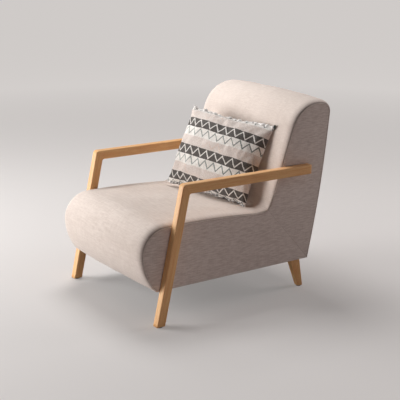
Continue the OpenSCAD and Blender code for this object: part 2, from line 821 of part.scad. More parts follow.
module arm_spacers() {
    color(black_cloth) chair()
        for (side = [-1, 1])
            on_side(side)
                for (p = bolts_at)
                    difference() {
                        bar_across(p, spacer_r, frame_x, arm_inner_x);
                        bar_across(p, bolt_r + bolt_ease, frame_x - over, arm_inner_x + over);
                    }
}

module leg_plates() {
    color(steel) chair()
        for (side = [-1, 1])
            on_side(side)
                difference() {
                    union() {
                        translate([plate_x[0], plate_s[0], leg_top_z]) cube([plate_w, plate_l, plate_t]);
                        translate([hanger_at[0], hanger_at[1], leg_top_z])
                            cylinder(h = plate_t + nut_h, r = nut_r);
                    }
                    translate([hanger_at[0], hanger_at[1], leg_top_z - over])
                        cylinder(h = plate_t + nut_h + 2 * over, r = bolt_r);
                    plate_screw_holes();
                }
}

module plate_screws() {
    color(steel) chair()
        for (side = [-1, 1])
            on_side(side)
                for (x = plate_screw_x)
                    for (s = plate_screw_s)
                        translate([x, s, leg_top_z - plate_head_t]) {
                            cylinder(h = plate_head_t, r = plate_head_r);
                            cylinder(h = plate_head_t + plate_screw_len, r = plate_screw_r);
                        }
}

module leg_bolts() {
    color(steel) chair()
        for (side = [-1, 1])
            on_side(side)
                translate([hanger_at[0], hanger_at[1], leg_top_z - hanger_down])
                    cylinder(h = hanger_up + hanger_down, r = bolt_r - snug);
}

// Middle line of a zigzag spring: bars across, joined by half turns at alternate ends.
spring_run = spring_rear - spring_front - rail_t + 2 * clip_depth - 4 * clip_t - wire_t;
bar_pitch = spring_run / (bar_count - 1);
bar_half = spring_w / 2 - bar_pitch / 2 - wire_t / 2;
turn_steps = 5;
function spring_line() = concat([[-bar_half, 0]],
    [for (n = [0 : bar_count - 2])
        let (side = n % 2 == 0 ? 1 : -1)
        each [for (i = [0 : turn_steps])
            [side * (bar_half + bar_pitch / 2 * sin(180 * i / turn_steps)),
                bar_pitch * (n + 0.5) - bar_pitch / 2 * cos(180 * i / turn_steps)]]],
    [[(bar_count % 2 == 0 ? -1 : 1) * bar_half, spring_run]]);
spring_path = spring_line();
spring_last = len(spring_path) - 1;
function spring_side(i) =
    let (v = spring_path[min(i + 1, spring_last)] - spring_path[max(i - 1, 0)])
    [-v[1], v[0]] / norm(v) * wire_t / 2;

module seat_springs() {
    start = seat_at(spring_front + rail_t - clip_depth + 2 * clip_t + wire_t / 2, -wire_drop - wire_t);
    outline = concat([for (i = [0 : spring_last]) spring_path[i] + spring_side(i)],
        [for (i = [spring_last : -1 : 0]) spring_path[i] - spring_side(i)]);
    color(steel) chair()
        for (n = [0 : spring_count - 1])
            translate([(n - (spring_count - 1) / 2) * spring_pitch, start[0], start[1]])
                rotate([seat_angle, 0, 0])
                    linear_extrude(wire_t) polygon(outline);
}

// A clip's section: a base on the rail, a web behind the wire and a lip over it.
module clip_section() {
    height = rail_drop - wire_drop + 2 * clip_t;
    square([clip_depth, clip_t]);
    square([clip_t, height]);
    translate([0, height - clip_t]) square([clip_depth / 2, clip_t]);
}

module spring_clips() {
    color(steel) chair()
        for (n = [0 : spring_count - 1])
            for (rear = [0, 1])
                let (along = rear == 0 ? spring_front + rail_t - clip_depth : spring_rear + clip_depth,
                     place = seat_at(along, -rail_drop))
                translate([(n - (spring_count - 1) / 2) * spring_pitch - clip_w / 2, place[0], place[1]])
                    rotate([seat_angle, 0, 0])
                        mirror([0, rear, 0])
                            rotate([90, 0, 90])
                                linear_extrude(clip_w) clip_section();
}

module back_webbing() {
    color(black_cloth) chair()
        for (n = [0 : strap_count - 1])
            back_box(foam_t - felt_t - rest_gap,
                lerp(strap_low, strap_high, n / (strap_count - 1)) - strap_w / 2,
                [2 * frame_x, felt_t, strap_w]);
}

// The felt runs over the springs, on the side frames' upper edges.
module seat_felt() {
    lower = [for (i = [end_nose : end_seat]) frame_point(i, rest_gap)];
    upper = [for (i = [end_seat : -1 : end_nose]) frame_point(i, rest_gap + felt_t)];
    color(black_cloth) chair() across(-frame_x, frame_x) polygon(concat(lower, upper));
}

module seat_foam() {
    color(foam_colour) chair() foam(first_front, mid_crease);
}

module back_foam() {
    color(foam_colour) chair() foam(mid_crease, end_corner);
}

// Pad between the frame's rear edge and the outside back.
module rear_pad() {
    top = [rear_frame_s(frame_top_z), frame_top_z];
    bottom = [rear_frame_s(frame_bottom_z), frame_bottom_z];
    places = places_within(frame_x);
    color(foam_colour) chair()
        between([for (x = places) band_row(x, end_corner, end_rear - 1, cover_t + ease)],
            [for (x = places) [for (i = [end_corner : end_rear - 1])
                let (p = lerp(top, bottom, (i - end_corner) / rear_steps) + ease * ray(rear_facing))
                [x, p[0], p[1]]]]);
}

module side_pad(side) {
    outline = [for (i = [first_front : end_rear]) let (p = loop[i] - facing(i) * (cover_t + ease))
        [p[0], max(p[1], frame_bottom_z)]];
    color(foam_colour) chair() on_side(side)
        difference() {
            across(pad_inner_x, pad_outer_x) polygon(outline);
            for (p = bolts_at)
                bar_across(p, spacer_r + notch_ease, pad_inner_x - over, pad_outer_x + over);
        }
}

module seat_cover() {
    color(fabric) chair() band(0, mid_crease);
}

module back_cover() {
    color(fabric) chair() band(mid_crease, end_corner);
}

module outside_back_cover() {
    color(fabric) chair() band(end_corner, last_point);
}

// The side of the body is in two pieces, sewn along a line from the crease to the rear
// bottom corner.
module side_cover(side, outline, holes) {
    color(fabric) chair() on_side(side)
        difference() {
            across(band_x, side_x) polygon(outline);
            for (p = holes) bar_across(p, spacer_r + notch_ease, band_x - over, side_x + over);
        }
}

module seat_side_cover(side) {
    side_cover(side, concat([for (i = [first_front : mid_crease]) loop[i]], [rear_bottom]), leg_bolts_at);
}

module back_side_cover(side) {
    side_cover(side, [for (i = [mid_crease : end_rear]) loop[i]], arm_bolts_at);
}

module dust_cover() {
    start = front_return[0] + notch_ease;
    run = rear_return[0] - notch_ease - start;
    color(black_cloth) chair()
        difference() {
            translate([-pad_outer_x, start, frame_bottom_z - rest_gap - dust_t])
                cube([2 * pad_outer_x, run, dust_t]);
            for (side = [-1, 1])
                on_side(side)
                    translate([plate_x[0] - notch_ease, plate_s[0] - notch_ease, ground_clear])
                        cube([plate_w + side_x, plate_l + 2 * notch_ease, 2 * frame_lift]);
        }
}

// Loose cushion, in its own directions: across, through and up.
cushion_steps = 12;
swell_power = 0.42;
function draw_in(t) = 1 - draw_in_share * (1 - t * t);
function swell(u, v) = pow(max(0, (1 - u * u) * (1 - v * v)), swell_power);
// Places along a side, closer together towards the corners.
function spread(i) = sin(90 * (2 * i / cushion_steps - 1));
function cushion_point(i, j, face, size_share, lift) =
    let (u = spread(i), v = spread(j))
    [cushion_w / 2 * u * draw_in(v) * size_share,
        -face * (((face > 0 ? front_swell : back_swell) - cloth_t) * swell(u, v) * size_share + lift),
        cushion_h / 2 * v * draw_in(u) * size_share];
function cushion_grid(face, size_share, lift) =
    [for (i = [0 : cushion_steps]) [for (j = [0 : cushion_steps]) cushion_point(i, j, face, size_share, lift)]];

// The cushion stands with a lower corner on the seat and leans with an upper corner on the
// back. A corner's place comes from the same turns that place the cushion.
full_lean = back_rake + cushion_lean;
function corner_reach(v) =
    let (a = [cushion_w / 2 * cos(cushion_tip) + v * cushion_h / 2 * sin(cushion_tip),
              v * cushion_h / 2 * cos(cushion_tip) - cushion_w / 2 * sin(cushion_tip)],
         b = [a[0], a[1] * sin(full_lean), a[1] * cos(full_lean)])
    [b[0] * cos(cushion_turn) - b[1] * sin(cushion_turn),
        b[0] * sin(cushion_turn) + b[1] * cos(cushion_turn), b[2]];
low_corner = corner_reach(-1);
high_corner = corner_reach(1);
// Clearances of the two corners over the seat and the back, measured square to their seam
// lines, on top of the bands' rise
seat_touch = 2.2;
back_touch = 3.1;
seat_up = ray(seat_angle + 90);
back_out = ray(back_angle + 90);
seat_reach = seat_up * crease + seat_touch - seat_up * [low_corner[1], low_corner[2]]
    + lookup(cushion_x + low_corner[0], rise_table) * crease_share;
back_reach = back_out * crease + back_touch - back_out * [high_corner[1], high_corner[2]]
    + lookup(cushion_x + high_corner[0], rise_table) * back_share;
crossing = seat_up[0] * back_out[1] - seat_up[1] * back_out[0];
cushion_s = (seat_reach * back_out[1] - seat_up[1] * back_reach) / crossing;
cushion_z = (seat_up[0] * back_reach - seat_reach * back_out[0]) / crossing;

module cushion_place() {
    translate([cushion_x, cushion_s, cushion_z])
        rotate([0, 0, cushion_turn])
            rotate([-full_lean, 0, 0])
                rotate([0, cushion_tip, 0]) children();
}

module cushion_front() {
    color(cushion_colour) chair() cushion_place()
        between(cushion_grid(1, 1, seam_gap / 2 + cloth_t), cushion_grid(1, 1, seam_gap / 2));
}

module cushion_back() {
    color(cushion_colour) chair() cushion_place()
        between(cushion_grid(-1, 1, seam_gap / 2), cushion_grid(-1, 1, seam_gap / 2 + cloth_t));
}

module cushion_filling() {
    filling_share = 0.99;
    color(foam_colour) chair() cushion_place()
        between(cushion_grid(1, filling_share, seam_gap / 2), cushion_grid(-1, filling_share, seam_gap / 2));
}

front_leg(1);  // front_leg_left
front_leg(-1);  // front_leg_right
arm_rail(1);  // arm_rail_left
arm_rail(-1);  // arm_rail_right
arm_dowels();
rear_leg(1);  // rear_leg_left
rear_leg(-1);  // rear_leg_right
foot_glides();
side_frame(1);  // side_frame_left
side_frame(-1);  // side_frame_right
front_bottom_rail();
spring_rail(spring_front);  // front_spring_rail
spring_rail(spring_rear);  // rear_spring_rail
lumbar_rail();
back_top_rail();
rear_bottom_rail();
middle_stretcher();
corner_blocks();
frame_screws();
threaded_inserts();
arm_bolts();
bolt_washers();
arm_spacers();
leg_plates();
plate_screws();
leg_bolts();
seat_springs();
spring_clips();
back_webbing();
seat_felt();
seat_foam();
back_foam();
rear_pad();
side_pad(1);  // side_pad_left
side_pad(-1);  // side_pad_right
seat_cover();
back_cover();
outside_back_cover();
seat_side_cover(1);  // seat_side_cover_left
seat_side_cover(-1);  // seat_side_cover_right
back_side_cover(1);  // back_side_cover_left
back_side_cover(-1);  // back_side_cover_right
dust_cover();
cushion_front();
cushion_back();
cushion_filling();
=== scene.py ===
"""The fireside chair's looks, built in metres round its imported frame.

+Z is up, -Y the front and +X the sitter's left. Covers, oak bars and the cushion are surfaces
computed as whole arrays. Every other piece keeps its solid and gets a finish.
"""

import json
import logging
import math
from dataclasses import dataclass
from enum import Enum
from typing import Any

import bpy
import numpy as np
from mathutils import Euler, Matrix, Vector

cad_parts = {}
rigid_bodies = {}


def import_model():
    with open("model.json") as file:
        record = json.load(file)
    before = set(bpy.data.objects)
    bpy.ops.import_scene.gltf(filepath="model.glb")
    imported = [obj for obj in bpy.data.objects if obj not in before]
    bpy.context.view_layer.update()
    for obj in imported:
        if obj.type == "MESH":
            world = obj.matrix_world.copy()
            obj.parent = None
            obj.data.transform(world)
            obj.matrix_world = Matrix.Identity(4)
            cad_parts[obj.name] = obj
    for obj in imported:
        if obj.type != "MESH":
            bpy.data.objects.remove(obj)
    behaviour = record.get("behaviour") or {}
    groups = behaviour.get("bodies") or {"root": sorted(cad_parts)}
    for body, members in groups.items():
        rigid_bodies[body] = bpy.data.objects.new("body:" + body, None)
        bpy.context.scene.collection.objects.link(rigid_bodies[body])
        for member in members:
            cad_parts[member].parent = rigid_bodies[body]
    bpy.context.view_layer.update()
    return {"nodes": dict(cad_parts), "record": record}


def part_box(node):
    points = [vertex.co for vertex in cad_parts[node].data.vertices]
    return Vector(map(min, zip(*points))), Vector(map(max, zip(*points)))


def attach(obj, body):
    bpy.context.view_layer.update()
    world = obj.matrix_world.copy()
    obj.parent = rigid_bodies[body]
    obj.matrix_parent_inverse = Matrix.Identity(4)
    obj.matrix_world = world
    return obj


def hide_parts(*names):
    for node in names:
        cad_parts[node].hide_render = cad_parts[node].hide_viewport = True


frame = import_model()

Array = np.ndarray
Material = bpy.types.Material
Object = bpy.types.Object
Triple = tuple[float, float, float]
RIGHT_ANGLE = math.pi / 2
log = logging.getLogger("chair")


class Body(Enum):
    """The two bodies of the chair."""

    CHAIR = "chair"
    CUSHION = "cushion"


class Side(Enum):
    """A side of the chair, with the sign of its distance from the middle."""

    LEFT = 1
    RIGHT = -1

    @property
    def label(self) -> str:
        """The side's name as the pieces end with it."""
        return self.name.lower()


# Arrays and meshes


def smooth(t: Array) -> Array:
    """Eased step of each value, level at 0 and at 1."""
    t = np.clip(t, 0.0, 1.0)
    return t * t * (3.0 - 2.0 * t)


def ray(angle: float | Array) -> Array:
    """Unit vector, or a row of them, at an angle in the side plane."""
    return np.stack([np.cos(angle), np.sin(angle)], -1)


def heading(v: Array) -> float:
    """Angle of a vector in the side plane."""
    return math.atan2(v[1], v[0])


def unit(v: Array) -> Array:
    """Each vector of a row over its own length."""
    return v / np.linalg.norm(v, axis=-1)[..., None]


def arc(hub: Array, radius: float, start: float, end: float, steps: int) -> Array:
    """Points of an arc about a hub, from one angle to another, both ends kept."""
    return hub + radius * ray(np.linspace(start, end, steps + 1))


def straight(start: Array, end: Array, steps: int) -> Array:
    """Points of a straight line, both ends kept."""
    return start + np.linspace(0.0, 1.0, steps + 1)[:, None] * (np.asarray(end) - start)


def rounding(corner: Array, into: float, out: float, radius: float, steps: int) -> Array:
    """Points of an arc that rounds a corner and touches both of its lines.

    Args:
        corner: Where the lines cross.
        into: Heading of the line that runs into it.
        out: Heading of the line that leaves it.
        radius: Radius of the arc.
        steps: Steps of the arc.

    Returns:
        The points, both ends kept.
    """
    side = math.copysign(RIGHT_ANGLE, out - into)
    start = corner - radius * math.tan(abs(out - into) / 2.0) * ray(into)
    return arc(start + radius * ray(into + side), radius, into - side, out - side, steps)


def joined(*stretches: Array) -> Array:
    """Stretches of points run together, each without its last point but for the last one."""
    return np.concatenate([s[:-1] for s in stretches[:-1]] + [stretches[-1]])


def closed(loop: Array) -> Array:
    """The points of a loop, with the first one again at the end."""
    return np.concatenate([loop, loop[:1]])


def run_of(line: Array) -> Array:
    """How far along a line each of its points lies."""
    return np.concatenate([[0.0], np.cumsum(np.linalg.norm(np.diff(line, axis=0), axis=1))])


def points_at(line: Array, at: Array) -> Array:
    """Points of a line at some distances along it."""
    run = run_of(line)
    return np.stack([np.interp(at, run, line[:, k]) for k in range(line.shape[1])], -1)


def resampled(line: Array, steps: int) -> Array:
    """The same line in equal steps of its own length, both ends kept."""
    return points_at(line, np.linspace(0.0, run_of(line)[-1], steps + 1))


def in_space(flat: Array, x: Array | float | None = None, z: Array | float = 0.0) -> Array:
    """Points of a plane with the coordinate that they lack: x goes before them, or else z after."""
    lacking = np.broadcast_to(np.asarray(z if x is None else x)[..., None], flat.shape[:-1] + (1,))
    return np.concatenate([flat, lacking] if x is None else [lacking, flat], -1)


def ripple(u: Array, v: Array, seed: int, length: float) -> Array:
    """Soft unevenness from about -1 to 1: the sum of seven waves in scattered directions.

    Their lengths are 0.6 to 1.7 times the middle one.

    Args:
        u: First coordinate in metres.
        v: Second coordinate in metres.
        seed: Seed of the waves' directions, phases and lengths.
        length: Middle wavelength in metres.

    Returns:
        The height at each point.
    """
    waves = np.random.default_rng(seed).uniform([0.0, 0.0, 0.6], [math.pi, 2 * math.pi, 1.7], (7, 3))
    total = np.zeros(np.broadcast(u, v).shape)
    for turn, phase, stretch in waves:
        along = u * math.cos(turn) + v * math.sin(turn)
        total += np.sin(2 * math.pi * along / (length * stretch) + phase)
    return total / math.sqrt(len(waves))


def quads_of(ids: Array) -> Array:
    """Quads of a grid of point numbers."""
    corners = [ids[:-1, :-1], ids[1:, :-1], ids[1:, 1:], ids[:-1, 1:]]
    return np.stack(corners, -1).reshape(-1, 4)


def tube_quads(rings: int, size: int) -> Array:
    """Quads between the rings of a tube, each closed and of the same size."""
    ids = np.arange(rings * size).reshape(rings, size)
    return quads_of(np.concatenate([ids, ids[:, :1]], 1))


def outwards(points: Array, quads: Array) -> Array:
    """Turns the quads of a closed mesh outwards, by the sign of the volume inside them.

    Args:
        points: The points.
        quads: The quads, all turned alike.

    Returns:
        The quads, turned outwards.
    """
    a, b, c, d = (points[quads[:, k]] for k in range(4))
    volume = np.einsum("ij,ij->", a, np.cross(b, c)) + np.einsum("ij,ij->", a, np.cross(c, d))
    return quads if volume > 0 else quads[:, ::-1]


def sheet_between(low: Array, high: Array, keep: Array | bool = True) -> tuple[Array, Array]:
    """Closed sheet between two grids: both skins, and a rim on each edge of one cell only.

    Args:
        low: Grid of the lower points.
        high: Grid of the upper points.
        keep: Which cells the sheet covers.

    Returns:
        The points in use and the quads.
    """
    rows, columns = low.shape[:2]
    count = rows * columns
    kept = np.broadcast_to(keep, (rows - 1, columns - 1)).ravel()
    cells = quads_of(np.arange(count).reshape(rows, columns))[kept]
    edges = np.concatenate([cells[:, [k, (k + 1) % 4]] for k in range(4)])
    start, end = edges[~np.isin(edges @ [count, 1], edges @ [1, count])].T
    rim = np.stack([start, end, end + count, start + count], -1)
    quads = np.concatenate([cells + count, cells[:, ::-1], rim])
    used, quads = np.unique(quads, return_inverse=True)
    points = np.concatenate([low.reshape(-1, 3), high.reshape(-1, 3)])[used]
    return points, quads.reshape(-1, 4)


def capsules(centre: Array, ahead: Array, length: float, radius: float) -> tuple[Array, Array]:
    """Short round-ended rods, each of five rings of six points along its direction.

    Args:
        centre: Middle of each rod.
        ahead: Unit direction of each rod.
        length: Length of a rod.
        radius: Radius at its middle.

    Returns:
        The points and the quads of all of them.
    """
    aside = unit(np.cross(ahead, [0.31, 0.22, 0.92]))
    up = np.cross(aside, ahead)
    along = np.array([-1.0, -0.8, 0.0, 0.8, 1.0])[:, None, None] * length / 2
    radii = np.array([0.33, 0.83, 1.0, 0.83, 0.33])[:, None, None] * radius
    turn = (np.arange(6) * math.pi / 3)[:, None]
    spread = aside[:, None, None] * np.cos(turn) + up[:, None, None] * np.sin(turn)
    points = centre[:, None, None] + ahead[:, None, None] * along + spread * radii
    # Two quads close each end.
    ends = np.array([[0, 1, 2, 3], [0, 3, 4, 5], [27, 26, 25, 24], [29, 28, 27, 24]])
    one = np.concatenate([tube_quads(5, 6), ends])
    quads = one[None] + 30 * np.arange(len(centre))[:, None, None]
    return points.reshape(-1, 3), quads.reshape(-1, 4)


def four_sides(loop: Array, along: int, across: int) -> tuple[Array, ...]:
    """Parts a closed loop into the rim of a grid.

    Args:
        loop: The loop, from its low left corner.
        along: Steps of its low and its top side.
        across: Steps of its right and its left side.

    Returns:
        The low, right, top and left side, each from its low or left end.
    """
    cuts = np.cumsum([0, along, across, along, across])
    low, right, top, left = (closed(loop)[a : b + 1] for a, b in zip(cuts, cuts[1:]))
    return low, right, top[::-1], left[::-1]


def capped(rings: Array, along: int, across: int) -> tuple[Array, Array, list[Array]]:
    """Closed mesh of a row of rings, whose ends are filled by Coons patches.

    Each inner point of a patch is the sum of the lines between both pairs of facing sides,
    less the flat patch between the four corners.

    Args:
        rings: Rings of points, each starting at a corner of its four sides.
        along: Steps of a ring's first and third sides.
        across: Steps of its second and fourth sides.

    Returns:
        The points, the quads, and the point numbers inside the two patches.
    """
    count, size = rings.shape[:2]
    points, quads, insides = [rings.reshape(-1, 3)], [tube_quads(count, size)], []
    u = np.linspace(0.0, 1.0, along + 1)[:, None, None]
    v = np.linspace(0.0, 1.0, across + 1)[None, :, None]
    for ring in (0, count - 1):
        low, right, top, left = four_sides(rings[ring], along, across)
        lines = (1 - v) * low[:, None] + v * top[:, None] + (1 - u) * left[None] + u * right[None]
        flat = (1 - u) * ((1 - v) * low[0] + v * top[0]) + u * ((1 - v) * low[-1] + v * top[-1])
        points.append((lines - flat)[1:-1, 1:-1].reshape(-1, 3))
        ids = np.zeros((along + 1, across + 1), int)
        rim = ring * size + np.arange(size)
        ids[:, 0], ids[-1], ids[:, -1], ids[0] = four_sides(rim, along, across)
        inside = sum(map(len, points[:-1])) + np.arange(len(points[-1]))
        ids[1:-1, 1:-1] = inside.reshape(along - 1, across - 1)
        # The patch on the last ring faces the other way.
        quads.append(quads_of(ids)[:, :: -1 if ring else 1])
        insides.append(inside)
    return np.concatenate(points), np.concatenate(quads), insides


def drawn_in(loop: Array, depth: Array) -> Array:
    """How far each point of a closed loop moves when its edges move inwards.

    A point goes to the crossing of its two moved edges. Where they are nearly in line, with a
    sine of their turn under 0.2, it goes along their mean instead.

    Args:
        loop: Points of the loop in a plane, run counter-clockwise.
        depth: How far the edge after each point moves.

    Returns:
        The move of each point.
    """
    edge = unit(np.roll(loop, -1, 0) - loop)
    normal = np.stack([-edge[:, 1], edge[:, 0]], -1)
    before, depth_before = np.roll(normal, 1, 0), np.roll(depth, 1)
    turn = before[:, 0] * normal[:, 1] - before[:, 1] * normal[:, 0]
    mean = before * depth_before[:, None] + normal * depth[:, None]
    mean /= 1.0 + np.einsum("ij,ij->i", before, normal)[:, None]
    sharp = np.abs(turn) > 0.2
    crossing = np.stack([depth_before * normal[:, 1] - depth * before[:, 1],
                         depth * before[:, 0] - depth_before * normal[:, 0]], -1)
    return np.where(sharp[:, None], crossing / np.where(sharp, turn, 1.0)[:, None], mean)


def distance(points: Array, loop: Array) -> Array:
    """Distance of points in a plane from a closed loop: the least to any of its edges.

    Args:
        points: The points.
        loop: The points of the loop.

    Returns:
        The distance of each point.
    """
    edge = np.roll(loop, -1, 0) - loop
    away = points[:, None] - loop
    share = np.clip((away * edge).sum(-1) / (edge**2).sum(-1), 0.0, 1.0)
    return np.linalg.norm(away - share[..., None] * edge, axis=-1).min(1)


def inset(loop: Array, steps: tuple[int, ...], depth: float) -> Array:
    """Closed loop at a distance inside another one, in equal steps on each of its sides.

    Points that would pass a corner are left out before a side is spaced again.

    Args:
        loop: Points of the outer loop, run counter-clockwise from a corner.
        steps: Steps of each side.
        depth: The distance.

    Returns:
        As many points as the outer loop has.
    """
    moved = loop + drawn_in(loop, np.full(len(loop), depth))
    # The thousandth allows for rounding.
    inside = distance(moved, loop) > depth * 0.999
    corners = np.cumsum((0,) + steps)
    inside[corners[:-1]] = True
    sides = []
    for first, last in zip(corners, corners[1:]):
        row = np.arange(first, last + 1) % len(loop)
        sides.append(resampled(moved[row][inside[row]], last - first)[:-1])
    return np.concatenate(sides)


def make_piece(name: str, points: Array, quads: Array, material: Material, slot: str,
               replaced: tuple[str, ...] = (), body: Body = Body.CHAIR,
               parent: Object | None = None, **attributes: Array) -> Object:
    """Puts a closed mesh into the scene as a piece of the chair and reports it.

    Args:
        name: The piece's name.
        points: Its points.
        quads: Its faces, turned outwards here.
        material: Its finish.
        slot: The slot of its finish; not used.
        replaced: The nodes that it stands for.
        body: The body that it moves with.
        parent: The piece that it is fixed to.
        **attributes: Named arrays with one number, or three, for each point.

    Returns:
        The new object, at the origin.
    """
    mesh = bpy.data.meshes.new(name)
    mesh.from_pydata(points.astype(float), [], outwards(points, quads))
    for label, values in attributes.items():
        kind, key = ("FLOAT", "value") if values.ndim == 1 else ("FLOAT_VECTOR", "vector")
        layer = mesh.attributes.new(label, kind, "POINT")
        layer.data.foreach_set(key, values.astype(np.float32).ravel())
    mesh.materials.append(material)
    mesh.shade_smooth()
    mesh.update()
    piece = bpy.data.objects.new(name, mesh)
    bpy.context.scene.collection.objects.link(piece)
    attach(piece, body.value)
    piece.parent = parent or piece.parent
    if replaced:
        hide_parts(*replaced)
    log.info("%s: %d quads", name, len(quads))
    return piece


# Finishes


def linear(code: str) -> tuple[float, float, float, float]:
    """Turns a colour to linear by the sRGB curve: a straight foot, then a power of 2.4.

    Args:
        code: The sRGB hex value, such as DACBC0.

    Returns:
        Red, green, blue and a full alpha.
    """
    shares = [int(code[k : k + 2], 16) / 255.0 for k in (0, 2, 4)]
    red, green, blue = (s / 12.92 if s <= 0.04045 else ((s + 0.055) / 1.055) ** 2.4 for s in shares)
    return red, green, blue, 1.0


# Each row: a node's type, the sockets that are filled in order, its output and its settings.
NODES = {
    "object": ("TexCoord", (), "Object", {}),
    "stretch": ("Mapping", ("Vector", "Scale"), 0, {}),
    "noise": ("TexNoise", ("Vector", "Scale", "Detail", "Roughness"), "Fac", {}),
    "levels": ("MapRange", ("Value", "From Min", "From Max", "To Min", "To Max"), 0, {}),
    "first": ("SeparateXYZ", (0,), 0, {}),
    "second": ("SeparateXYZ", (0,), 1, {}),
    "length": ("VectorMath", (0,), "Value", {"operation": "LENGTH"}),
    "mix": ("Mix", (0, 6, 7), 2, {"data_type": "RGBA"}),
    "tint": ("Mix", (0, 6, 7), 2, {"data_type": "RGBA", "blend_type": "MULTIPLY"}),
    "bump": ("Bump", ("Height", "Distance"), 0, {}),
    "seen": ("LightPath", (), "Is Camera Ray", {}),
    "shader": ("BsdfPrincipled", (), 0, {}),
    "surface": ("OutputMaterial", ("Surface",), 0, {}),
    "background": ("Background", ("Color", "Strength"), 0, {}),
    "either": ("MixShader", (0, 1, 2), 0, {}),
    "world": ("OutputWorld", ("Surface",), 0, {}),
}
# The attributes that the pieces carry: places in metres or in shares, and single numbers.
for attribute in ("cloth", "grain", "panel", "seam", "slub"):
    kind = "Fac" if attribute in ("seam", "slub") else "Vector"
    NODES[attribute] = ("Attribute", (), kind, {"attribute_name": attribute})


class Painter:
    """Fills one node tree, node after node."""

    def __init__(self, tree: bpy.types.NodeTree) -> None:
        """Starts with the tree emptied."""
        self.tree = tree
        tree.nodes.clear()

    def add(self, kind: str, *inputs: Any, **named: Any) -> Any:
        """Adds a node. A socket gets a link, a colour by its hex value, or a plain value.

        Args:
            kind: The node's row in NODES, or a Math node's operation.
            *inputs: What the sockets of its row get.
            **named: What other sockets get.

        Returns:
            The node's output, if it has one.
        """
        math_row = ("Math", (0, 1, 2), 0, {"operation": kind})
        node_type, sockets, output, settings = NODES.get(kind, math_row)
        node = self.tree.nodes.new("ShaderNode" + node_type)
        for name, value in settings.items():
            setattr(node, name, value)
        for name, value in (dict(zip(sockets, inputs)) | named).items():
            if isinstance(value, bpy.types.NodeSocket):
                self.tree.links.new(value, node.inputs[name])
            else:
                node.inputs[name].default_value = linear(value) if isinstance(value, str) else value
        return node.outputs[output] if node.outputs else None

    def streaks(self, place: Any, size: float, stretch: Triple, detail: float, rough: float) -> Any:
        """Noise with features of a size in metres, drawn out where the stretch is below 1."""
        return self.add("noise", self.add("stretch", place, stretch), 1.0 / size, detail, rough)


class Finish:
    """What all finishes share: a name, and a material made of what they paint."""

    name: str

    def paint(self, p: Painter) -> dict[str, Any]:
        """Adds the finish's nodes and says what the shader's sockets get."""
        raise NotImplementedError

    def build(self) -> Material:
        """Makes the material.

        Returns:
            The material, under the finish's name.
        """
        material = bpy.data.materials.new(self.name)
        material.use_nodes = True
        p = Painter(material.node_tree)
        p.add("surface", p.add("shader", **self.paint(p)))
        return material


@dataclass(frozen=True)
class FurnishingFabric(Finish):
    """Light greige woven furnishing fabric: matt, soft to the eye, mottled by its melange yarn.

    The real yarn is about 0.6 mm, too fine to show, so the weave is drawn at 4 mm. Slubs are
    longer thick places in the weft, which runs along the second coordinate.
    """

    name: str = "woven_furnishing_fabric"
    light: str = "E6D8CE"
    dark: str = "CFBEB3"
    # Colour at the seams: the needle line, and painted shade in the seam's groove.
    seam_shade: str = "6E5F55"
    yarn: float = 0.0042
    cloud: float = 0.035
    relief: float = 0.0004
    weave_share: float = 0.55
    cloud_share: float = 0.1
    seam_share: float = 0.35
    middle: float = 0.325
    spread: float = 0.17

    def paint(self, p: Painter) -> dict[str, Any]:
        """Mixes two tones by the mean of warp and weft, with slubs, clouds, and thread and painted shade
        at the seams.

        Args:
            p: Painter of the material.

        Returns:
            What the shader's sockets get.
        """
        cloth = p.add("cloth")
        warp, weft, slub = (p.streaks(cloth, self.yarn, stretch, 2.0, 0.6)
                            for stretch in ((0.16, 1.0, 1.0), (1.0, 0.16, 1.0), (1.0, 0.13, 1.0)))
        weave = p.add("MULTIPLY", p.add("ADD", warp, weft), 0.5)
        cloud = p.add("MULTIPLY", p.add("noise", cloth, 1.0 / self.cloud, 2.0), self.cloud_share)
        slub = p.add("MULTIPLY", p.add("SUBTRACT", slub, 0.5), p.add("slub"))
        share = p.add("ADD", p.add("MULTIPLY_ADD", weave, self.weave_share, cloud), slub)
        share = p.add("levels", share, self.middle - self.spread, self.middle + self.spread)
        colour = p.add("mix", share, self.dark, self.light)
        # The seams darken partly for the needle line and partly as painted shade in the seam's groove.
        seam = p.add("MULTIPLY", p.add("seam"), self.seam_share)
        return {
            "Base Color": p.add("mix", seam, colour, self.seam_shade),
            "Normal": p.add("bump", weave, self.relief), "Roughness": 0.92, "Sheen Weight": 0.18,
            "Sheen Roughness": 0.6, "Specular IOR Level": 0.25,
        }


@dataclass(frozen=True)
class Oak(Finish):
    """Solid oak, planed, sanded and satin lacquered: honey coloured, with long grain.

    Growth rings are about 2 to 4 mm apart, and pores are short dark dashes. The real pores are
    about 0.3 mm wide, too fine to show, so they are drawn at 1.2 mm.
    """

    name: str = "satin_lacquered_oak"
    light: str = "F7C98E"
    dark: str = "EAA970"
    pore: str = "9C6A3E"
    figure_w: float = 0.009
    ring_w: float = 0.0024
    pore_w: float = 0.0012

    def paint(self, p: Painter) -> dict[str, Any]:
        """Mixes two tones by broad and fine grain, and darkens and dents the pores.

        Args:
            p: Painter of the material.

        Returns:
            What the shader's sockets get.
        """
        grain = p.add("grain")
        broad = p.streaks(grain, self.figure_w, (0.05, 1.0, 1.0), 3.0, 0.55)
        fine = p.streaks(grain, self.ring_w, (0.03, 1.0, 1.0), 3.0, 0.6)
        pores = p.streaks(grain, self.pore_w, (0.08, 1.0, 1.0), 1.0, 0.5)
        share = p.add("MULTIPLY_ADD", broad, 0.6, p.add("MULTIPLY", fine, 0.4))
        colour = p.add("mix", p.add("levels", share, 0.36, 0.64), self.dark, self.light)
        dash = p.add("levels", pores, 0.62, 0.72, 0.0, 0.3)
        return {
            "Base Color": p.add("mix", dash, colour, self.pore),
            "Normal": p.add("bump", p.add("MULTIPLY", dash, -1.0), 0.0002), "Roughness": 0.5,
            "Specular IOR Level": 0.3, "Coat Weight": 0.05, "Coat Roughness": 0.4,
        }


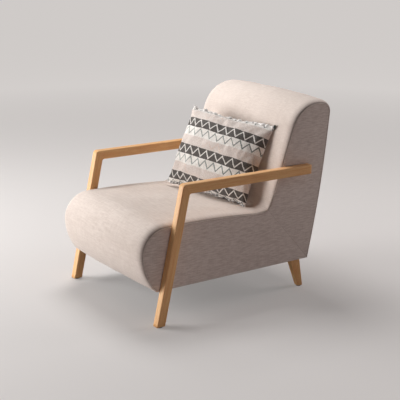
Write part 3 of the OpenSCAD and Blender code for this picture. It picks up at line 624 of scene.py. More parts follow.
@dataclass(frozen=True)
class ZigzagCotton(Finish):
    """Hand-woven cotton with traditional zigzag stripes: dry and uneven, in charcoal and white.

    Each stripe is a third of the period: charcoal with a white zigzag, white with a grey one,
    and beige with a faint peach one. The yarn of 1 mm is drawn at 2 mm.
    """

    name: str = "zigzag_woven_cotton"
    period: float = 0.326
    phase: float = 0.825
    teeth: float = 10.04
    shift: float = 0.014
    white_teeth: float = 10.74
    white_shift: float = -0.111
    swing: float = 0.74
    middle: float = 0.48
    line_half: float = 0.078
    grey_half: float = 0.088
    blur: float = 0.035
    charcoal: str = "484543"
    charcoal_light: str = "716C68"
    white: str = "F2EEE9"
    beige: str = "E2D7D0"
    peach: str = "E6CDBE"
    grey: str = "8E9590"
    # Grey of the zigzag on the cushion's shaded side: painted shade.
    grey_dark: str = "767B78"
    speck: str = "DCD6D1"
    yarn: float = 0.0021
    relief: float = 0.0007

    def paint(self, p: Painter) -> dict[str, Any]:
        """Lays the stripes by the panel attribute: across and up, as shares of the panel.

        Args:
            p: Painter of the material.

        Returns:
            What the shader's sockets get.
        """
        panel, cloth = p.add("panel"), p.add("cloth")
        side = p.add("first", panel)
        fine = p.add("SUBTRACT", p.add("noise", cloth, 1.0 / 0.007, 2.0), 0.5)
        broad = p.add("SUBTRACT", p.add("noise", cloth, 1.0 / 0.06, 1.0), 0.5)
        wobble = p.add("MULTIPLY_ADD", fine, 0.5, broad)
        across = p.add("MULTIPLY_ADD", wobble, 0.014, side)
        up = p.add("MULTIPLY_ADD", wobble, 0.020, p.add("second", panel))
        turn = p.add("DIVIDE", p.add("SUBTRACT", self.phase, up), self.period)
        turn = p.add("MULTIPLY", p.add("FRACT", turn), 3.0)
        depth = p.add("FRACT", turn)
        upright = self.zigzag(p, across, depth, self.teeth, self.shift, 1.0, self.line_half)
        hanging = self.zigzag(p, across, depth, self.white_teeth, self.white_shift, -1.0, self.grey_half)
        weft, warp = (p.streaks(cloth, self.yarn, stretch, 2.0, 0.6)
                      for stretch in ((0.3, 1.0, 1.0), (1.0, 0.3, 1.0)))
        yarn = p.add("MULTIPLY", p.add("ADD", weft, warp), 0.5)
        speckle = p.add("levels", yarn, 0.41, 0.59)
        dark = p.add("mix", speckle, self.charcoal, self.charcoal_light)
        first = p.add("mix", p.add("MULTIPLY", upright, 0.92), dark, self.white)
        # The grey zigzag darkens and grows stronger towards the sitter's left, away from the lamps:
        # painted shade.
        grey = p.add("mix", p.add("levels", side, 0.4, 0.95), self.grey, self.grey_dark)
        drawn = p.add("MULTIPLY", hanging, p.add("levels", side, 0.1, 0.8, 0.8, 1.0))
        second = p.add("mix", drawn, self.white, grey)
        blush = p.add("levels", p.add("noise", cloth, 1.0 / 0.11, 1.0), 0.45, 0.65, 0.0, 0.6)
        third = p.add("mix", p.add("MULTIPLY", upright, blush), self.beige, self.peach)
        colour = p.add("mix", p.add("GREATER_THAN", turn, 1.0), first, second)
        colour = p.add("mix", p.add("GREATER_THAN", turn, 2.0), colour, third)
        return {
            "Base Color": p.add("tint", p.add("MULTIPLY", speckle, 0.75), colour, self.speck),
            "Normal": p.add("bump", yarn, self.relief), "Roughness": 0.95, "Sheen Weight": 0.12,
            "Specular IOR Level": 0.2,
        }

    def zigzag(self, p: Painter, across: Any, depth: Any, teeth: float, shift: float,
               sense: float, half: float) -> Any:
        """Share of a zigzag line over a stripe: 1 within half its height, 0 past that.

        Args:
            p: Painter of the material.
            across: Place across the panel.
            depth: Place down the stripe, from 0 to 1.
            teeth: Teeth across the panel.
            shift: Shift of the teeth in teeth.
            sense: 1 where a tooth's tip hangs at whole numbers, -1 where it stands there.
            half: Half the line's height as a share of the stripe's.

        Returns:
            The socket with the share.
        """
        tooth = p.add("FRACT", p.add("MULTIPLY_ADD", across, teeth, shift))
        tooth = p.add("ABSOLUTE", p.add("MULTIPLY_ADD", tooth, 2.0, -1.0))
        start = self.middle - sense * self.swing / 2
        line = p.add("MULTIPLY_ADD", tooth, sense * self.swing, start)
        gap = p.add("ABSOLUTE", p.add("SUBTRACT", depth, line))
        return p.add("levels", gap, half, half + self.blur, 1.0, 0.0)


@dataclass(frozen=True)
class Plain(Finish):
    """A simple finish: two tones mottled by noise, with a fine relief."""

    name: str
    light: str
    dark: str
    size: float
    relief: float = 0.0002
    roughness: float = 0.6
    metallic: float = 0.0
    stretch: Triple = (1.0, 1.0, 1.0)

    def paint(self, p: Painter) -> dict[str, Any]:
        """Mixes the tones by noise on Object coordinates, which also gives the relief.

        Args:
            p: Painter of the material.

        Returns:
            What the shader's sockets get.
        """
        tone = p.streaks(p.add("object"), self.size, self.stretch, 3.0, 0.5)
        return {
            "Base Color": p.add("mix", p.add("levels", tone, 0.35, 0.65), self.dark, self.light),
            "Normal": p.add("bump", tone, self.relief), "Roughness": self.roughness,
            "Metallic": self.metallic,
        }


@dataclass(frozen=True)
class Floor(Finish):
    """A plain pale floor that keeps the chair's shadow.

    It looks darker to bounced light, so that it doesn't fill the shadows, and away from the
    chair, where the lamps fall off, it is pale of itself to the camera.
    """

    name: str = "plain_floor"
    bounced: str = "B0ACAA"
    pale: str = "BAB6B4"
    glow: str = "F4EFEC"
    glow_from: float = 0.6
    glow_to: float = 5.0
    least_glow: float = 0.24
    most_glow: float = 0.68

    def paint(self, p: Painter) -> dict[str, Any]:
        """Mixes two tones by who looks, with a glow that grows with the distance.

        Args:
            p: Painter of the material.

        Returns:
            What the shader's sockets get.
        """
        seen, away = p.add("seen"), p.add("length", p.add("object"))
        glow = p.add("levels", away, self.glow_from, self.glow_to, self.least_glow, self.most_glow)
        return {
            "Base Color": p.add("mix", seen, self.bounced, self.pale), "Roughness": 0.9,
            "Specular IOR Level": 0.1, "Emission Color": self.glow,
            "Emission Strength": p.add("MULTIPLY", seen, glow),
        }


FINISHES = {
    "oak": Oak(),
    "upholstery": FurnishingFabric(),
    "cushion_cloth": ZigzagCotton(),
    # Birch plywood, sanded: pale, with broad figure along the board.
    "plywood": Plain("birch_plywood", "E6CFA6", "CBAA7B", 0.012, 0.0001, 0.7, 0.0, (1.0, 0.1, 1.0)),
    # Sawn pine and beech: yellow, with growth rings along the rails.
    "softwood": Plain("sawn_softwood", "EBD3A4", "CFA871", 0.008, 0.0003, 0.75, 0.0, (0.1, 1.0, 1.0)),
    # Cut polyether foam: pale cream, with open cells of about 1 mm.
    "foam": Plain("cut_foam", "F2E9CF", "DDD0AE", 0.0015, 0.0006, 0.95),
    # Black cambric, felt and webbing: dull, with a fibrous surface.
    "dark_cloth": Plain("black_cambric", "2E2E31", "17171A", 0.0018, 0.0003, 0.95),
    # Zinc-plated steel: cool grey, faintly spangled.
    "steel": Plain("zinc_plated_steel", "C6C9CC", "9A9DA2", 0.004, 0.00003, 0.35, 1.0),
    # Turned brass: warm yellow with tool marks.
    "insert_brass": Plain("turned_brass", "D9B566", "B28E45", 0.002, 0.00003, 0.32, 1.0, (8.0, 1.0, 1.0)),
    # Moulded black nylon: dark, slightly rough.
    "black_nylon": Plain("moulded_black_nylon", "2A2A2B", "1B1B1C", 0.003, 0.00005, 0.5),
    # Spun polyester thread: a shade darker than the cloth, faintly glossy.
    "thread": Plain("polyester_thread", "D8CABF", "B9A99C", 0.002, 0.0001, 0.7),
    # Loose cotton yarn, white and charcoal: dull and fluffy.
    "white_tuft": Plain("white_cotton_yarn", "F4F1ED", "CFC8C2", 0.003, 0.0003, 0.95),
    "dark_tuft": Plain("charcoal_cotton_yarn", "5E6560", "3A3C3A", 0.003, 0.0003, 0.95),
    # Selvedge yarn rolled over at the seams: thick, the lower one flecked with charcoal.
    "upper": Plain("white_selvedge_yarn", "FBF8F5", "C9C1BA", 0.010, 0.0006, 0.95),
    "lower": Plain("mixed_selvedge_yarn", "F6F2EE", "4A4745", 0.011, 0.0006, 0.95),
}


def dress_nodes(finishes: dict[str, Material]) -> None:
    """Gives every node that keeps its solid the finish of its slot.

    Args:
        finishes: The materials by slot.
    """
    for row in frame["record"]["subparts"]:
        node = frame["nodes"][row["node"]]
        if not node.hide_render:
            node.data.materials.clear()
            node.data.materials.append(finishes[row["material_slot"]])


# The body's side outline


class Stretch(Enum):
    """The stretches of the side seam, in order from the front hem to the rear hem."""

    FRONT_HEM = 0
    UNDER = 1
    NOSE = 2
    SEAT = 3
    CREASE_LOW = 4
    CREASE_HIGH = 5
    BACK = 6
    ROLL = 7
    CORNER = 8
    REAR = 9
    REAR_HEM = 10


@dataclass
class SideOutline:
    """The seam round the chair's side, as distance behind the nose and height."""

    ground_clear: float = 0.132
    seat_front_z: float = 0.381
    nose_r: float = 0.100
    under_r: float = 0.220
    crease_s: float = 0.592
    crease_z: float = 0.362
    crease_r: float = 0.050
    back_rake: float = math.radians(19.5)
    crest_z: float = 0.779
    roll_r: float = 0.130
    shoulder_slope: float = math.radians(19.0)
    corner_r: float = 0.035
    rear_bottom_s: float = 0.797
    seat_bow: float = 0.006
    rear_bow: float = 0.010
    return_w: float = 0.018
    under_fade: float = 0.16
    rear_fade: float = 0.12

    def __post_init__(self) -> None:
        """Works out the whole seam, its facing and its share of the crown.

        A line that touches an arc leaves the line to the arc's hub by the angle whose sine is
        the radius over the distance.
        """
        nose_hub = np.array([self.nose_r, self.seat_front_z - self.nose_r])
        under_hub = np.array([self.under_r, nose_hub[1]])
        under_angle = math.asin((nose_hub[1] - self.ground_clear) / self.under_r)
        crease = np.array([self.crease_s, self.crease_z])
        reach = crease - nose_hub
        seat_angle = heading(reach) - math.asin(self.nose_r / np.linalg.norm(reach))
        back_angle = RIGHT_ANGLE - self.back_rake
        rise = self.crest_z - self.roll_r + self.roll_r * math.cos(back_angle) - self.crease_z
        back_top = crease + rise / math.sin(back_angle) * ray(back_angle)
        roll_hub = back_top + self.roll_r * ray(back_angle - RIGHT_ANGLE)
        shoulder = RIGHT_ANGLE - self.shoulder_slope
        corner_hub = roll_hub + (self.roll_r - self.corner_r) * ray(shoulder)
        self.rear_bottom = np.array([self.rear_bottom_s, self.ground_clear])
        reach = corner_hub - self.rear_bottom
        rear_facing = heading(reach) - RIGHT_ANGLE - math.asin(self.corner_r / np.linalg.norm(reach))
        under = arc(under_hub, self.under_r, math.pi + under_angle, math.pi, 32)
        nose = arc(nose_hub, self.nose_r, math.pi, RIGHT_ANGLE + seat_angle, 34)
        fold = rounding(crease, seat_angle, back_angle, self.crease_r, 20)
        roll = joined(arc(roll_hub, self.roll_r, back_angle + RIGHT_ANGLE, RIGHT_ANGLE, 48),
                      arc(roll_hub, self.roll_r, RIGHT_ANGLE, shoulder, 8))
        corner = arc(corner_hub, self.corner_r, shoulder, rear_facing, 14)
        hem = np.array([self.return_w, 0.0])
        # Each stretch's points, and its share of the crown at its start and at its end. The last
        # number of an arc, a rounding or a line is its steps.
        stretches = {
            Stretch.FRONT_HEM: (straight(under[0] + hem, under[0], 4), 0.0, 0.0),
            Stretch.UNDER: (under, 0.35, 1.0),
            Stretch.NOSE: (nose, 1.0, 1.0),
            Stretch.SEAT: (self.bowed(nose[-1], fold[0], self.seat_bow, seat_angle + RIGHT_ANGLE, 90),
                           1.0, 0.55),
            Stretch.CREASE_LOW: (fold[:11], 0.55, 0.55),
            Stretch.CREASE_HIGH: (fold[10:], 0.55, 0.55),
            Stretch.BACK: (straight(fold[-1], roll[0], 50), 0.55, 0.85),
            Stretch.ROLL: (roll, 0.85, 1.0),
            Stretch.CORNER: (corner, 1.0, 0.4),
            Stretch.REAR: (self.bowed(corner[-1], self.rear_bottom, self.rear_bow, rear_facing, 110),
                           0.4, 0.4),
            Stretch.REAR_HEM: (straight(self.rear_bottom, self.rear_bottom - hem, 4), 0.0, 0.0),
        }
        shares = []
        for stretch, (line, low, high) in stretches.items():
            t = np.linspace(0.0, 1.0, len(line))[:-1]
            share = low + (high - low) * t
            if stretch is Stretch.UNDER:
                share = share * smooth(t / self.under_fade)
            if stretch is Stretch.REAR:
                share = share * smooth((1.0 - t) / self.rear_fade)
            shares.append(share)
        self.starts = np.cumsum([0] + [len(share) for share in shares])
        self.points = joined(*(line for line, _, _ in stretches.values()))
        self.crown = np.concatenate(shares + [[0.0]])
        along = unit(np.gradient(self.points, axis=0))
        self.normals = np.stack([-along[:, 1], along[:, 0]], -1)
        self.run = run_of(self.points)

    @staticmethod
    def bowed(start: Array, end: Array, bow: float, facing: float, steps: int) -> Array:
        """A line with the slight outward bow of a sine's half wave."""
        t = np.linspace(0.0, math.pi, steps + 1)[:, None]
        return straight(start, end, steps) + bow * np.sin(t) * ray(facing)

    def start(self, stretch: Stretch) -> int:
        """The seam's row at which a stretch starts."""
        return int(self.starts[stretch.value])

    def part(self, first: Stretch, last: Stretch) -> slice:
        """The rows of the seam from the start of one stretch to the end of another."""
        return slice(self.start(first), int(self.starts[last.value + 1]) + 1)


# The upholstery


@dataclass
class Upholstery:
    """The fabric panels over the foam, with their seams.

    A side panel is built of rings inside its outline, and its face runs from the seam over a
    bead, a stitched dip and a soft swell.
    """

    outline: SideOutline
    material: Material
    thread: Material
    cover_t: float = 0.002
    edge_rise: float = 0.012
    edge_run: float = 0.030
    crown: float = 0.010
    edge_steps: int = 9
    flat_steps: int = 64
    waviness: float = 0.0009
    wave_length: float = 0.16
    wave_fade: float = 0.09
    crown_fade: float = 3.0
    seam_w: float = 0.002
    ring_depths_mm: tuple[float, ...] = (0.0, 0.0, 0.4, 1.1, 2.2, 3.4, 4.5, 5.3, 6.0, 6.8, 8.2,
                                         10.5, 14.0)
    seam_lift: float = 0.0002
    curl: float = 0.0018
    curl_r: float = 0.0022
    flat_fold: float = 0.5
    bead_h: float = 0.0008
    bead_rise: float = 0.0012
    bead_end: float = 0.0036
    bead_fall: float = 0.0024
    dip: float = 0.0007
    dip_w: float = 0.0011
    swell: float = 0.0014
    swell_from: float = 0.006
    swell_run: float = 0.03
    pad_wave: float = 0.0005
    pad_wave_length: float = 0.13
    pad_wave_fade: float = 0.04
    pad_seed: int = 31
    # How strongly the side seams darken: the thread line, and painted shade in the groove.
    side_seam_show: float = 0.8
    band_slub: float = 0.3
    weave_shift: float = 0.7
    stitch_in: float = 0.0062
    stitch_length: float = 0.0032
    stitch_pitch: float = 0.0052
    stitch_r: float = 0.0006
    stitch_lift: float = 0.0018
    stitch_probe: float = 0.001
    stitched_share: float = 0.6
    nose_split: int = 14
    roll_split: int = 30

    def __post_init__(self) -> None:
        """Takes the widths and the middle of the chair from the frame."""
        low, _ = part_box("seat_side_cover_left")
        self.band_x, self.middle_s = low.x, -low.y

    def across(self) -> Array:
        """Works out places across a band: by a cosine round its edges, even between them.

        Returns:
            The places, from the left to the right.
        """
        turn = np.linspace(0.0, RIGHT_ANGLE, self.edge_steps + 1)
        edge = self.band_x - self.edge_run * (1.0 - np.cos(turn))
        inner = np.linspace(-edge[-1], edge[-1], self.flat_steps + 1)
        return np.concatenate([-edge[:-1], inner, edge[:-1][::-1]])

    def rise(self, x: Array) -> Array:
        """Rise of a band over the seam: a quarter ellipse at the edges and a shallow crown.

        Args:
            x: Places across the band.

        Returns:
            The rise at each of them.
        """
        run = np.clip((self.band_x - np.abs(x)) / self.edge_run, 0.0, 1.0)
        edge = self.edge_rise * np.sqrt(1.0 - (1.0 - run) ** 2)
        return edge + self.crown * (1.0 - (x / self.band_x) ** 2)

    def band(self, name: str, node: str, first: Stretch, last: Stretch, seed: int) -> None:
        """A point is the seam's point, moved along the seam's facing by the band's rise and a
        soft unevenness that fades out at the edges.

        Args:
            name: The piece's name.
            node: The node that it stands for.
            first: Its first stretch.
            last: Its last stretch.
            seed: Seed of its unevenness.
        """
        rows = self.outline.part(first, last)
        points, normals = self.outline.points[rows, None], self.outline.normals[rows, None]
        share, run = self.outline.crown[rows, None], self.outline.run[rows, None]
        x = self.across()[None]
        lift = share * self.rise(x)
        inwards = self.band_x - np.abs(x)
        fade = smooth(inwards / self.wave_fade) * smooth(share * self.crown_fade)
        lift = lift + fade * self.waviness * ripple(run, x, seed, self.wave_length)
        skins = (in_space(points + normals * height[..., None] - [self.middle_s, 0.0], x)
                 for height in (lift - self.cover_t, lift))
        cloth = np.stack(np.broadcast_arrays(run, x, 0.1 * seed), -1).reshape(-1, 3)
        # Near the band's edges the cloth darkens: the thread line, and painted shade in the seam.
        seam = np.broadcast_to(1.0 - smooth(inwards / self.seam_w), lift.shape).ravel()
        piece = make_piece(name, *sheet_between(*skins), self.material, "upholstery", (node,),
                           cloth=np.tile(cloth, (2, 1)), seam=np.tile(seam, 2),
                           slub=np.full(2 * seam.size, self.band_slub))

    def side_panel(self, name: str, node: str, side: Side, sides: list[Array], beads: list[float],
                   steps: tuple[int, int]) -> None:
        """Builds a side panel: a bead along its seams, a stitched groove and a soft field.

        Args:
            name: The piece's name.
            node: The node that it stands for.
            side: Which side of the chair it is on.
            sides: The four sides of its outline, run round with the panel on the left hand.
            beads: How much of the bead each side has, below 0 for the flat seam between panels.
            steps: Steps of its first and its second side.
        """
        loop = np.concatenate([resampled(line, n)[:-1] for line, n in zip(sides, 2 * steps)])
        bead = np.repeat(beads, 2 * steps)
        fold = np.where(bead < 0, self.flat_fold, 1.0)
        # The mean of five neighbours eases the change from one side to the next.
        bead, fold = (np.convolve(np.concatenate([a[-2:], a, a[:2]]), np.ones(5) / 5, "valid")
                      for a in (np.maximum(bead, 0.0), fold))
        depths = np.array(self.ring_depths_mm) / 1000
        flats = np.stack([inset(loop, 2 * steps, d) for d in depths])
        lifts = np.array([self.height(d, bead, fold) for d in depths])
        # The rings run from the flat back out to the outline, up the seam and in over the face.
        lifts[0] = 0.0
        stack = np.concatenate([in_space(flats[-1:], 0.0), in_space(flats, lifts)])
        points, quads, (_, front) = capped(stack, *steps)
        flat = points[front, 1:]
        depth = distance(flat, loop)
        wave = ripple(flat[:, 0], flat[:, 1], self.pad_seed + len(name), self.pad_wave_length)
        wave *= self.pad_wave * smooth((depth - depths[-1]) / self.pad_wave_fade)
        points[front, 0] = self.height(depth, 0.0, 1.0) + wave
        # The outer rings darken at the seam, more where the fabric folds in deeper: the thread line, and
        # painted shade in the groove.
        seam = np.zeros(len(points))
        seam[: 4 * len(loop)] = np.tile(self.side_seam_show * fold, 4)
        points[:, 0] += self.band_x
        cloth = points[:, [2, 1, 0]] + [0.0, 0.0, self.weave_shift]
        points = (points - [0.0, self.middle_s, 0.0]) * [side.value, 1, 1]
        piece = make_piece(name, points, quads, self.material, "upholstery", (node,), cloth=cloth,
                           seam=seam, slub=np.full(len(points), 1.0))
        self.stitches(name + "_stitches", side, inset(loop, 2 * steps, self.stitch_in), bead, piece)

    def height(self, depth: Array | float, bead: Array | float, fold: Array | float) -> Array:
        """Height of a side panel's face over the band's edge.

        The fabric curls up out of the seam, runs over the bead, dips at the stitch line and
        then swells softly over the pad.

        Args:
            depth: Distance from the panel's outline.
            bead: Share of the bead.
            fold: How deep the fabric dips into the seam.

        Returns:
            The height.
        """
        round_off = 1.0 - np.sqrt(1.0 - (1.0 - np.clip(depth / self.curl_r, 0.0, 1.0)) ** 2)
        curl = self.seam_lift + self.curl * (1.0 - fold * round_off)
        over = smooth(depth / self.bead_rise) * (1.0 - smooth((depth - self.bead_end) / self.bead_fall))
        dip = np.exp(-(((depth - self.stitch_in) / self.dip_w) ** 2))
        swell = self.swell * (1.0 - np.exp(-np.maximum(depth - self.swell_from, 0.0) / self.swell_run))
        return curl + bead * (self.bead_h * over - self.dip * dip) + swell

    def stitches(self, name: str, side: Side, loop: Array, bead: Array, panel: Object) -> None:
        """Threads of the top-stitching, one short rounded stitch after another.

        Args:
            name: The piece's name.
            side: Which side of the chair it is on.
            loop: The stitch line.
            bead: Share of the bead at each of its points.
            panel: The panel that the threads go with.
        """
        line = closed(loop)
        run = run_of(line)
        at = np.arange(self.stitch_pitch, run[-1], self.stitch_pitch)
        at = at[np.interp(at, run, closed(bead)) > self.stitched_share]
        centre = points_at(line, at)
        ahead = unit(points_at(line, at + self.stitch_probe) - centre)
        level = side.value * (self.band_x + self.stitch_lift)
        rods = capsules(in_space(centre - [self.middle_s, 0.0], level), in_space(ahead, 0.0),
                        self.stitch_length, self.stitch_r)
        make_piece(name, *rods, self.thread, "upholstery", parent=panel)

    def build(self) -> None:
        """Builds every panel of the cover."""
        self.band("seat_cover_fabric", "seat_cover", Stretch.FRONT_HEM, Stretch.CREASE_LOW, 3)
        self.band("back_cover_fabric", "back_cover", Stretch.CREASE_HIGH, Stretch.CORNER, 5)
        self.band("outside_back_fabric", "outside_back_cover", Stretch.REAR, Stretch.REAR_HEM, 8)
        points, start, rear_bottom = self.outline.points, self.outline.start, self.outline.rear_bottom
        under, crease, rear = (start(s) for s in (Stretch.UNDER, Stretch.CREASE_HIGH, Stretch.REAR))
        split, crest = start(Stretch.NOSE) + self.nose_split, start(Stretch.ROLL) + self.roll_split
        diagonal = straight(points[crease], rear_bottom, 40)
        seat = (straight(rear_bottom, points[under], 40), diagonal, points[split : crease + 1],
                points[under : split + 1])
        back = (diagonal[::-1], points[rear : start(Stretch.REAR_HEM) + 1], points[crest : rear + 1],
                points[crease : crest + 1])
        for side in Side:
            for part, lines, beads, steps in (("seat", seat, [0.0, -1.0, 1.0, 1.0], (110, 70)),
                                              ("back", back, [-1.0, 1.0, 1.0, 1.0], (70, 120))):
                self.side_panel(f"{part}_side_fabric_{side.label}", f"{part}_side_cover_{side.label}",
                                side, [line[::-1] for line in lines], beads, steps)


@dataclass
class DustCover:
    """The black cambric under the body, stapled round its edge and cut out at the plates."""

    material: Material
    staple: Material
    plate_w: float = 0.060
    notch_ease: float = 0.0006
    thickness: float = 0.0007
    lift: float = 0.0001
    droop: float = 0.004
    wave: float = 0.0012
    wave_length: float = 0.11
    wave_seed: int = 12
    edge_points: int = 7
    middle_points: int = 49
    front_points: int = 63
    notch_points: int = 8
    staple_length: float = 0.011
    staple_r: float = 0.0006
    staple_sink: float = 0.0005
    staple_slant: tuple[float, float] = (0.966, 0.259)
    staple_pitch: float = 0.055
    staple_inset: float = 0.008
    front_staples: int = 10
    rear_share: float = 0.9
    side_start: float = 0.03
    side_rest: float = 0.02

    def build(self) -> None:
        """Builds the sheet, which droops as a product of parabolas, and then its staples."""
        low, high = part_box("dust_cover")
        plate_low, plate_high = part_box("leg_plates")
        plate_in = plate_high.x - self.plate_w - self.notch_ease
        cut = [plate_low.y - self.notch_ease, plate_high.y + self.notch_ease]
        x = joined(np.linspace(low.x, -plate_in, self.edge_points),
                   np.linspace(-plate_in, plate_in, self.middle_points),
                   np.linspace(plate_in, high.x, self.edge_points))
        y = joined(np.linspace(low.y, cut[0], self.front_points),
                   np.linspace(*cut, self.notch_points), np.array([cut[1], high.y]))
        middle_x, middle_y = (x[:-1] + x[1:]) / 2, (y[:-1] + y[1:]) / 2
        keep = (np.abs(middle_x) < plate_in)[:, None] | (middle_y < cut[0]) | (middle_y > cut[1])
        wide, deep = np.meshgrid(x, y, indexing="ij")
        v = (2 * deep - low.y - high.y) / (high.y - low.y)
        hang = (1 - (wide / high.x) ** 2) * (1 - v**2)
        wave = self.wave * ripple(wide, deep, self.wave_seed, self.wave_length)
        z = low.z + self.lift - hang * (self.droop + wave)
        skins = (np.stack([wide, deep, z + t], -1) for t in (0.0, self.thickness))
        piece = make_piece("dust_cover_cambric", *sheet_between(*skins, keep), self.material,
                           "dark_cloth", ("dust_cover",))
        self.staples(low, high, cut[0], piece)

    def staples(self, low: Any, high: Any, side_end: float, cover: Object) -> None:
        """Staples along the front, the sides up to the plates, and the rear.

        Args:
            low: Low corner of the cover's box.
            high: High corner of the cover's box.
            side_end: Where the rows along the sides end.
            cover: The cover that they go with.
        """
        inset_by, pitch = self.staple_inset, self.staple_pitch
        across = (np.arange(self.front_staples) - (self.front_staples - 1) / 2) * pitch
        down = np.arange(low.y + self.side_start, side_end - self.side_rest, pitch)
        rows = [np.stack(np.broadcast_arrays(x, y), -1) for x, y in (
            (across, low.y + inset_by), (across[1:-1] * self.rear_share, high.y - inset_by),
            (inset_by - high.x, down), (high.x - inset_by, down))]
        flat = np.concatenate(rows)
        crosswise = np.arange(len(flat)) < len(rows[0]) + len(rows[1])
        slant = np.where(crosswise[:, None], self.staple_slant, self.staple_slant[::-1])
        rods = capsules(in_space(flat, z=low.z - self.staple_sink), in_space(slant),
                        self.staple_length, self.staple_r)
        make_piece("dust_cover_staples", *rods, self.staple, "steel", parent=cover)


# Oak


@dataclass
class ArmFrame:
    """The two oak arm frames: a front leg and an arm rail, mitred at the corner."""

    material: Material
    middle_s: float
    foot_s: float = 0.035
    leg_depth: float = 0.037
    arm_top_z: float = 0.547
    arm_front_s: float = 0.160
    arm_end_s: float = 0.776
    arm_drop: float = 0.007
    arm_depth: float = 0.038
    arm_corner_r: float = 0.016
    fillet_r: float = 0.009
    ease_r: float = 0.0042
    mitre_ease: float = 0.0005
    end_ease: float = 0.0015
    glide_t: float = 0.003
    grain_shift: float = 0.37
    ease_rings: int = 6
    arc_steps: int = 8
    bar_steps: int = 40
    section_steps: int = 6

    def outlines(self) -> tuple[list[Array], list[Array], float, float]:
        """Works out both bars in the side plane, where the mitre joins the two corners.

        Returns:
            Four sides of the leg, four sides of the arm, and the two bars' headings.
        """
        foot = np.array([self.foot_s, 0.0])
        corner = np.array([self.arm_front_s, self.arm_top_z])
        end = np.array([self.arm_end_s, self.arm_top_z - self.arm_drop])
        leg_angle, arm_angle = heading(corner - foot), heading(end - corner)
        section = self.leg_depth * math.sin(leg_angle)
        turn = leg_angle - arm_angle
        inner_run = (self.arm_depth - section * math.cos(turn)) / math.sin(turn)
        inner = corner + section * ray(leg_angle - RIGHT_ANGLE) - inner_run * ray(leg_angle)
        n, bar, mitre = self.arc_steps, self.bar_steps, self.section_steps
        outer_arc = rounding(corner, leg_angle, arm_angle, self.arm_corner_r, 2 * n)
        inner_arc = rounding(inner, leg_angle, arm_angle, self.fillet_r, 2 * n)
        foot_front = foot + [self.glide_t / math.tan(leg_angle), self.glide_t]
        foot_rear = foot_front + [self.leg_depth, 0.0]
        under_end = end - [0.0, self.arm_depth / math.cos(arm_angle)]
        leg = [
            joined(straight(foot_front, outer_arc[0], bar), outer_arc[: n + 1]),
            straight(outer_arc[n], inner_arc[n], mitre),
            joined(inner_arc[n::-1], straight(inner_arc[0], foot_rear, bar)),
            straight(foot_rear, foot_front, mitre),
        ]
        arm = [
            joined(outer_arc[n:], straight(outer_arc[-1], end, bar)),
            straight(end, under_end, mitre),
            joined(straight(under_end, inner_arc[-1], bar), inner_arc[: n - 1 : -1]),
            straight(inner_arc[n], outer_arc[n], mitre),
        ]
        return leg, arm, leg_angle, arm_angle

    def bar(self, node: str, side: Side, sides: list[Array], eases: list[float], angle: float) -> None:
        """Builds one bar: its outline carried across the chair, with its edges eased.

        A ring at an angle t of the eased edge is drawn in by r (1 - sin t) and lies
        r (1 - cos t) inside the bar's face.

        Args:
            node: The node that it stands for, which also gives its width.
            side: Which side of the chair it is on.
            sides: The four sides of its outline, run clockwise.
            eases: Radius of the eased edge along each side.
            angle: Heading of the bar, for its grain.
        """
        low_x, high_x = sorted(abs(corner.x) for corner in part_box(node))
        sides = [line[::-1] for line in sides[::-1]]
        loop = np.concatenate([line[:-1] for line in sides])
        depth = np.repeat(eases[::-1], [len(line) - 1 for line in sides])
        turn = np.linspace(0.0, RIGHT_ANGLE, self.ease_rings)
        draw, lay = 1.0 - np.sin(turn), self.ease_r * (1.0 - np.cos(turn))
        draw = np.concatenate([draw, draw[::-1]])[:, None, None]
        x = np.concatenate([low_x + lay, high_x - lay[::-1]])[:, None]
        rings = in_space(loop + drawn_in(loop, depth) * draw, x)
        points, quads, _ = capped(rings, len(sides[0]) - 1, len(sides[1]) - 1)
        grain = np.stack([points[:, 1:] @ ray(angle), points[:, 1:] @ ray(angle + RIGHT_ANGLE),
                          points[:, 0] + self.grain_shift * side.value], -1)
        points = (points - [0.0, self.middle_s, 0.0]) * [side.value, 1, 1]
        make_piece(node + "_oak", points, quads, self.material, "oak", (node,), grain=grain)

    def build(self) -> None:
        """Builds both bars of both frames."""
        leg, arm, leg_angle, arm_angle = self.outlines()
        ease, end, mitre = self.ease_r, self.end_ease, self.mitre_ease
        for side in Side:
            self.bar("front_leg_" + side.label, side, leg, [ease, mitre, ease, end], leg_angle)
            self.bar("arm_rail_" + side.label, side, arm, [ease, end, ease, mitre], arm_angle)


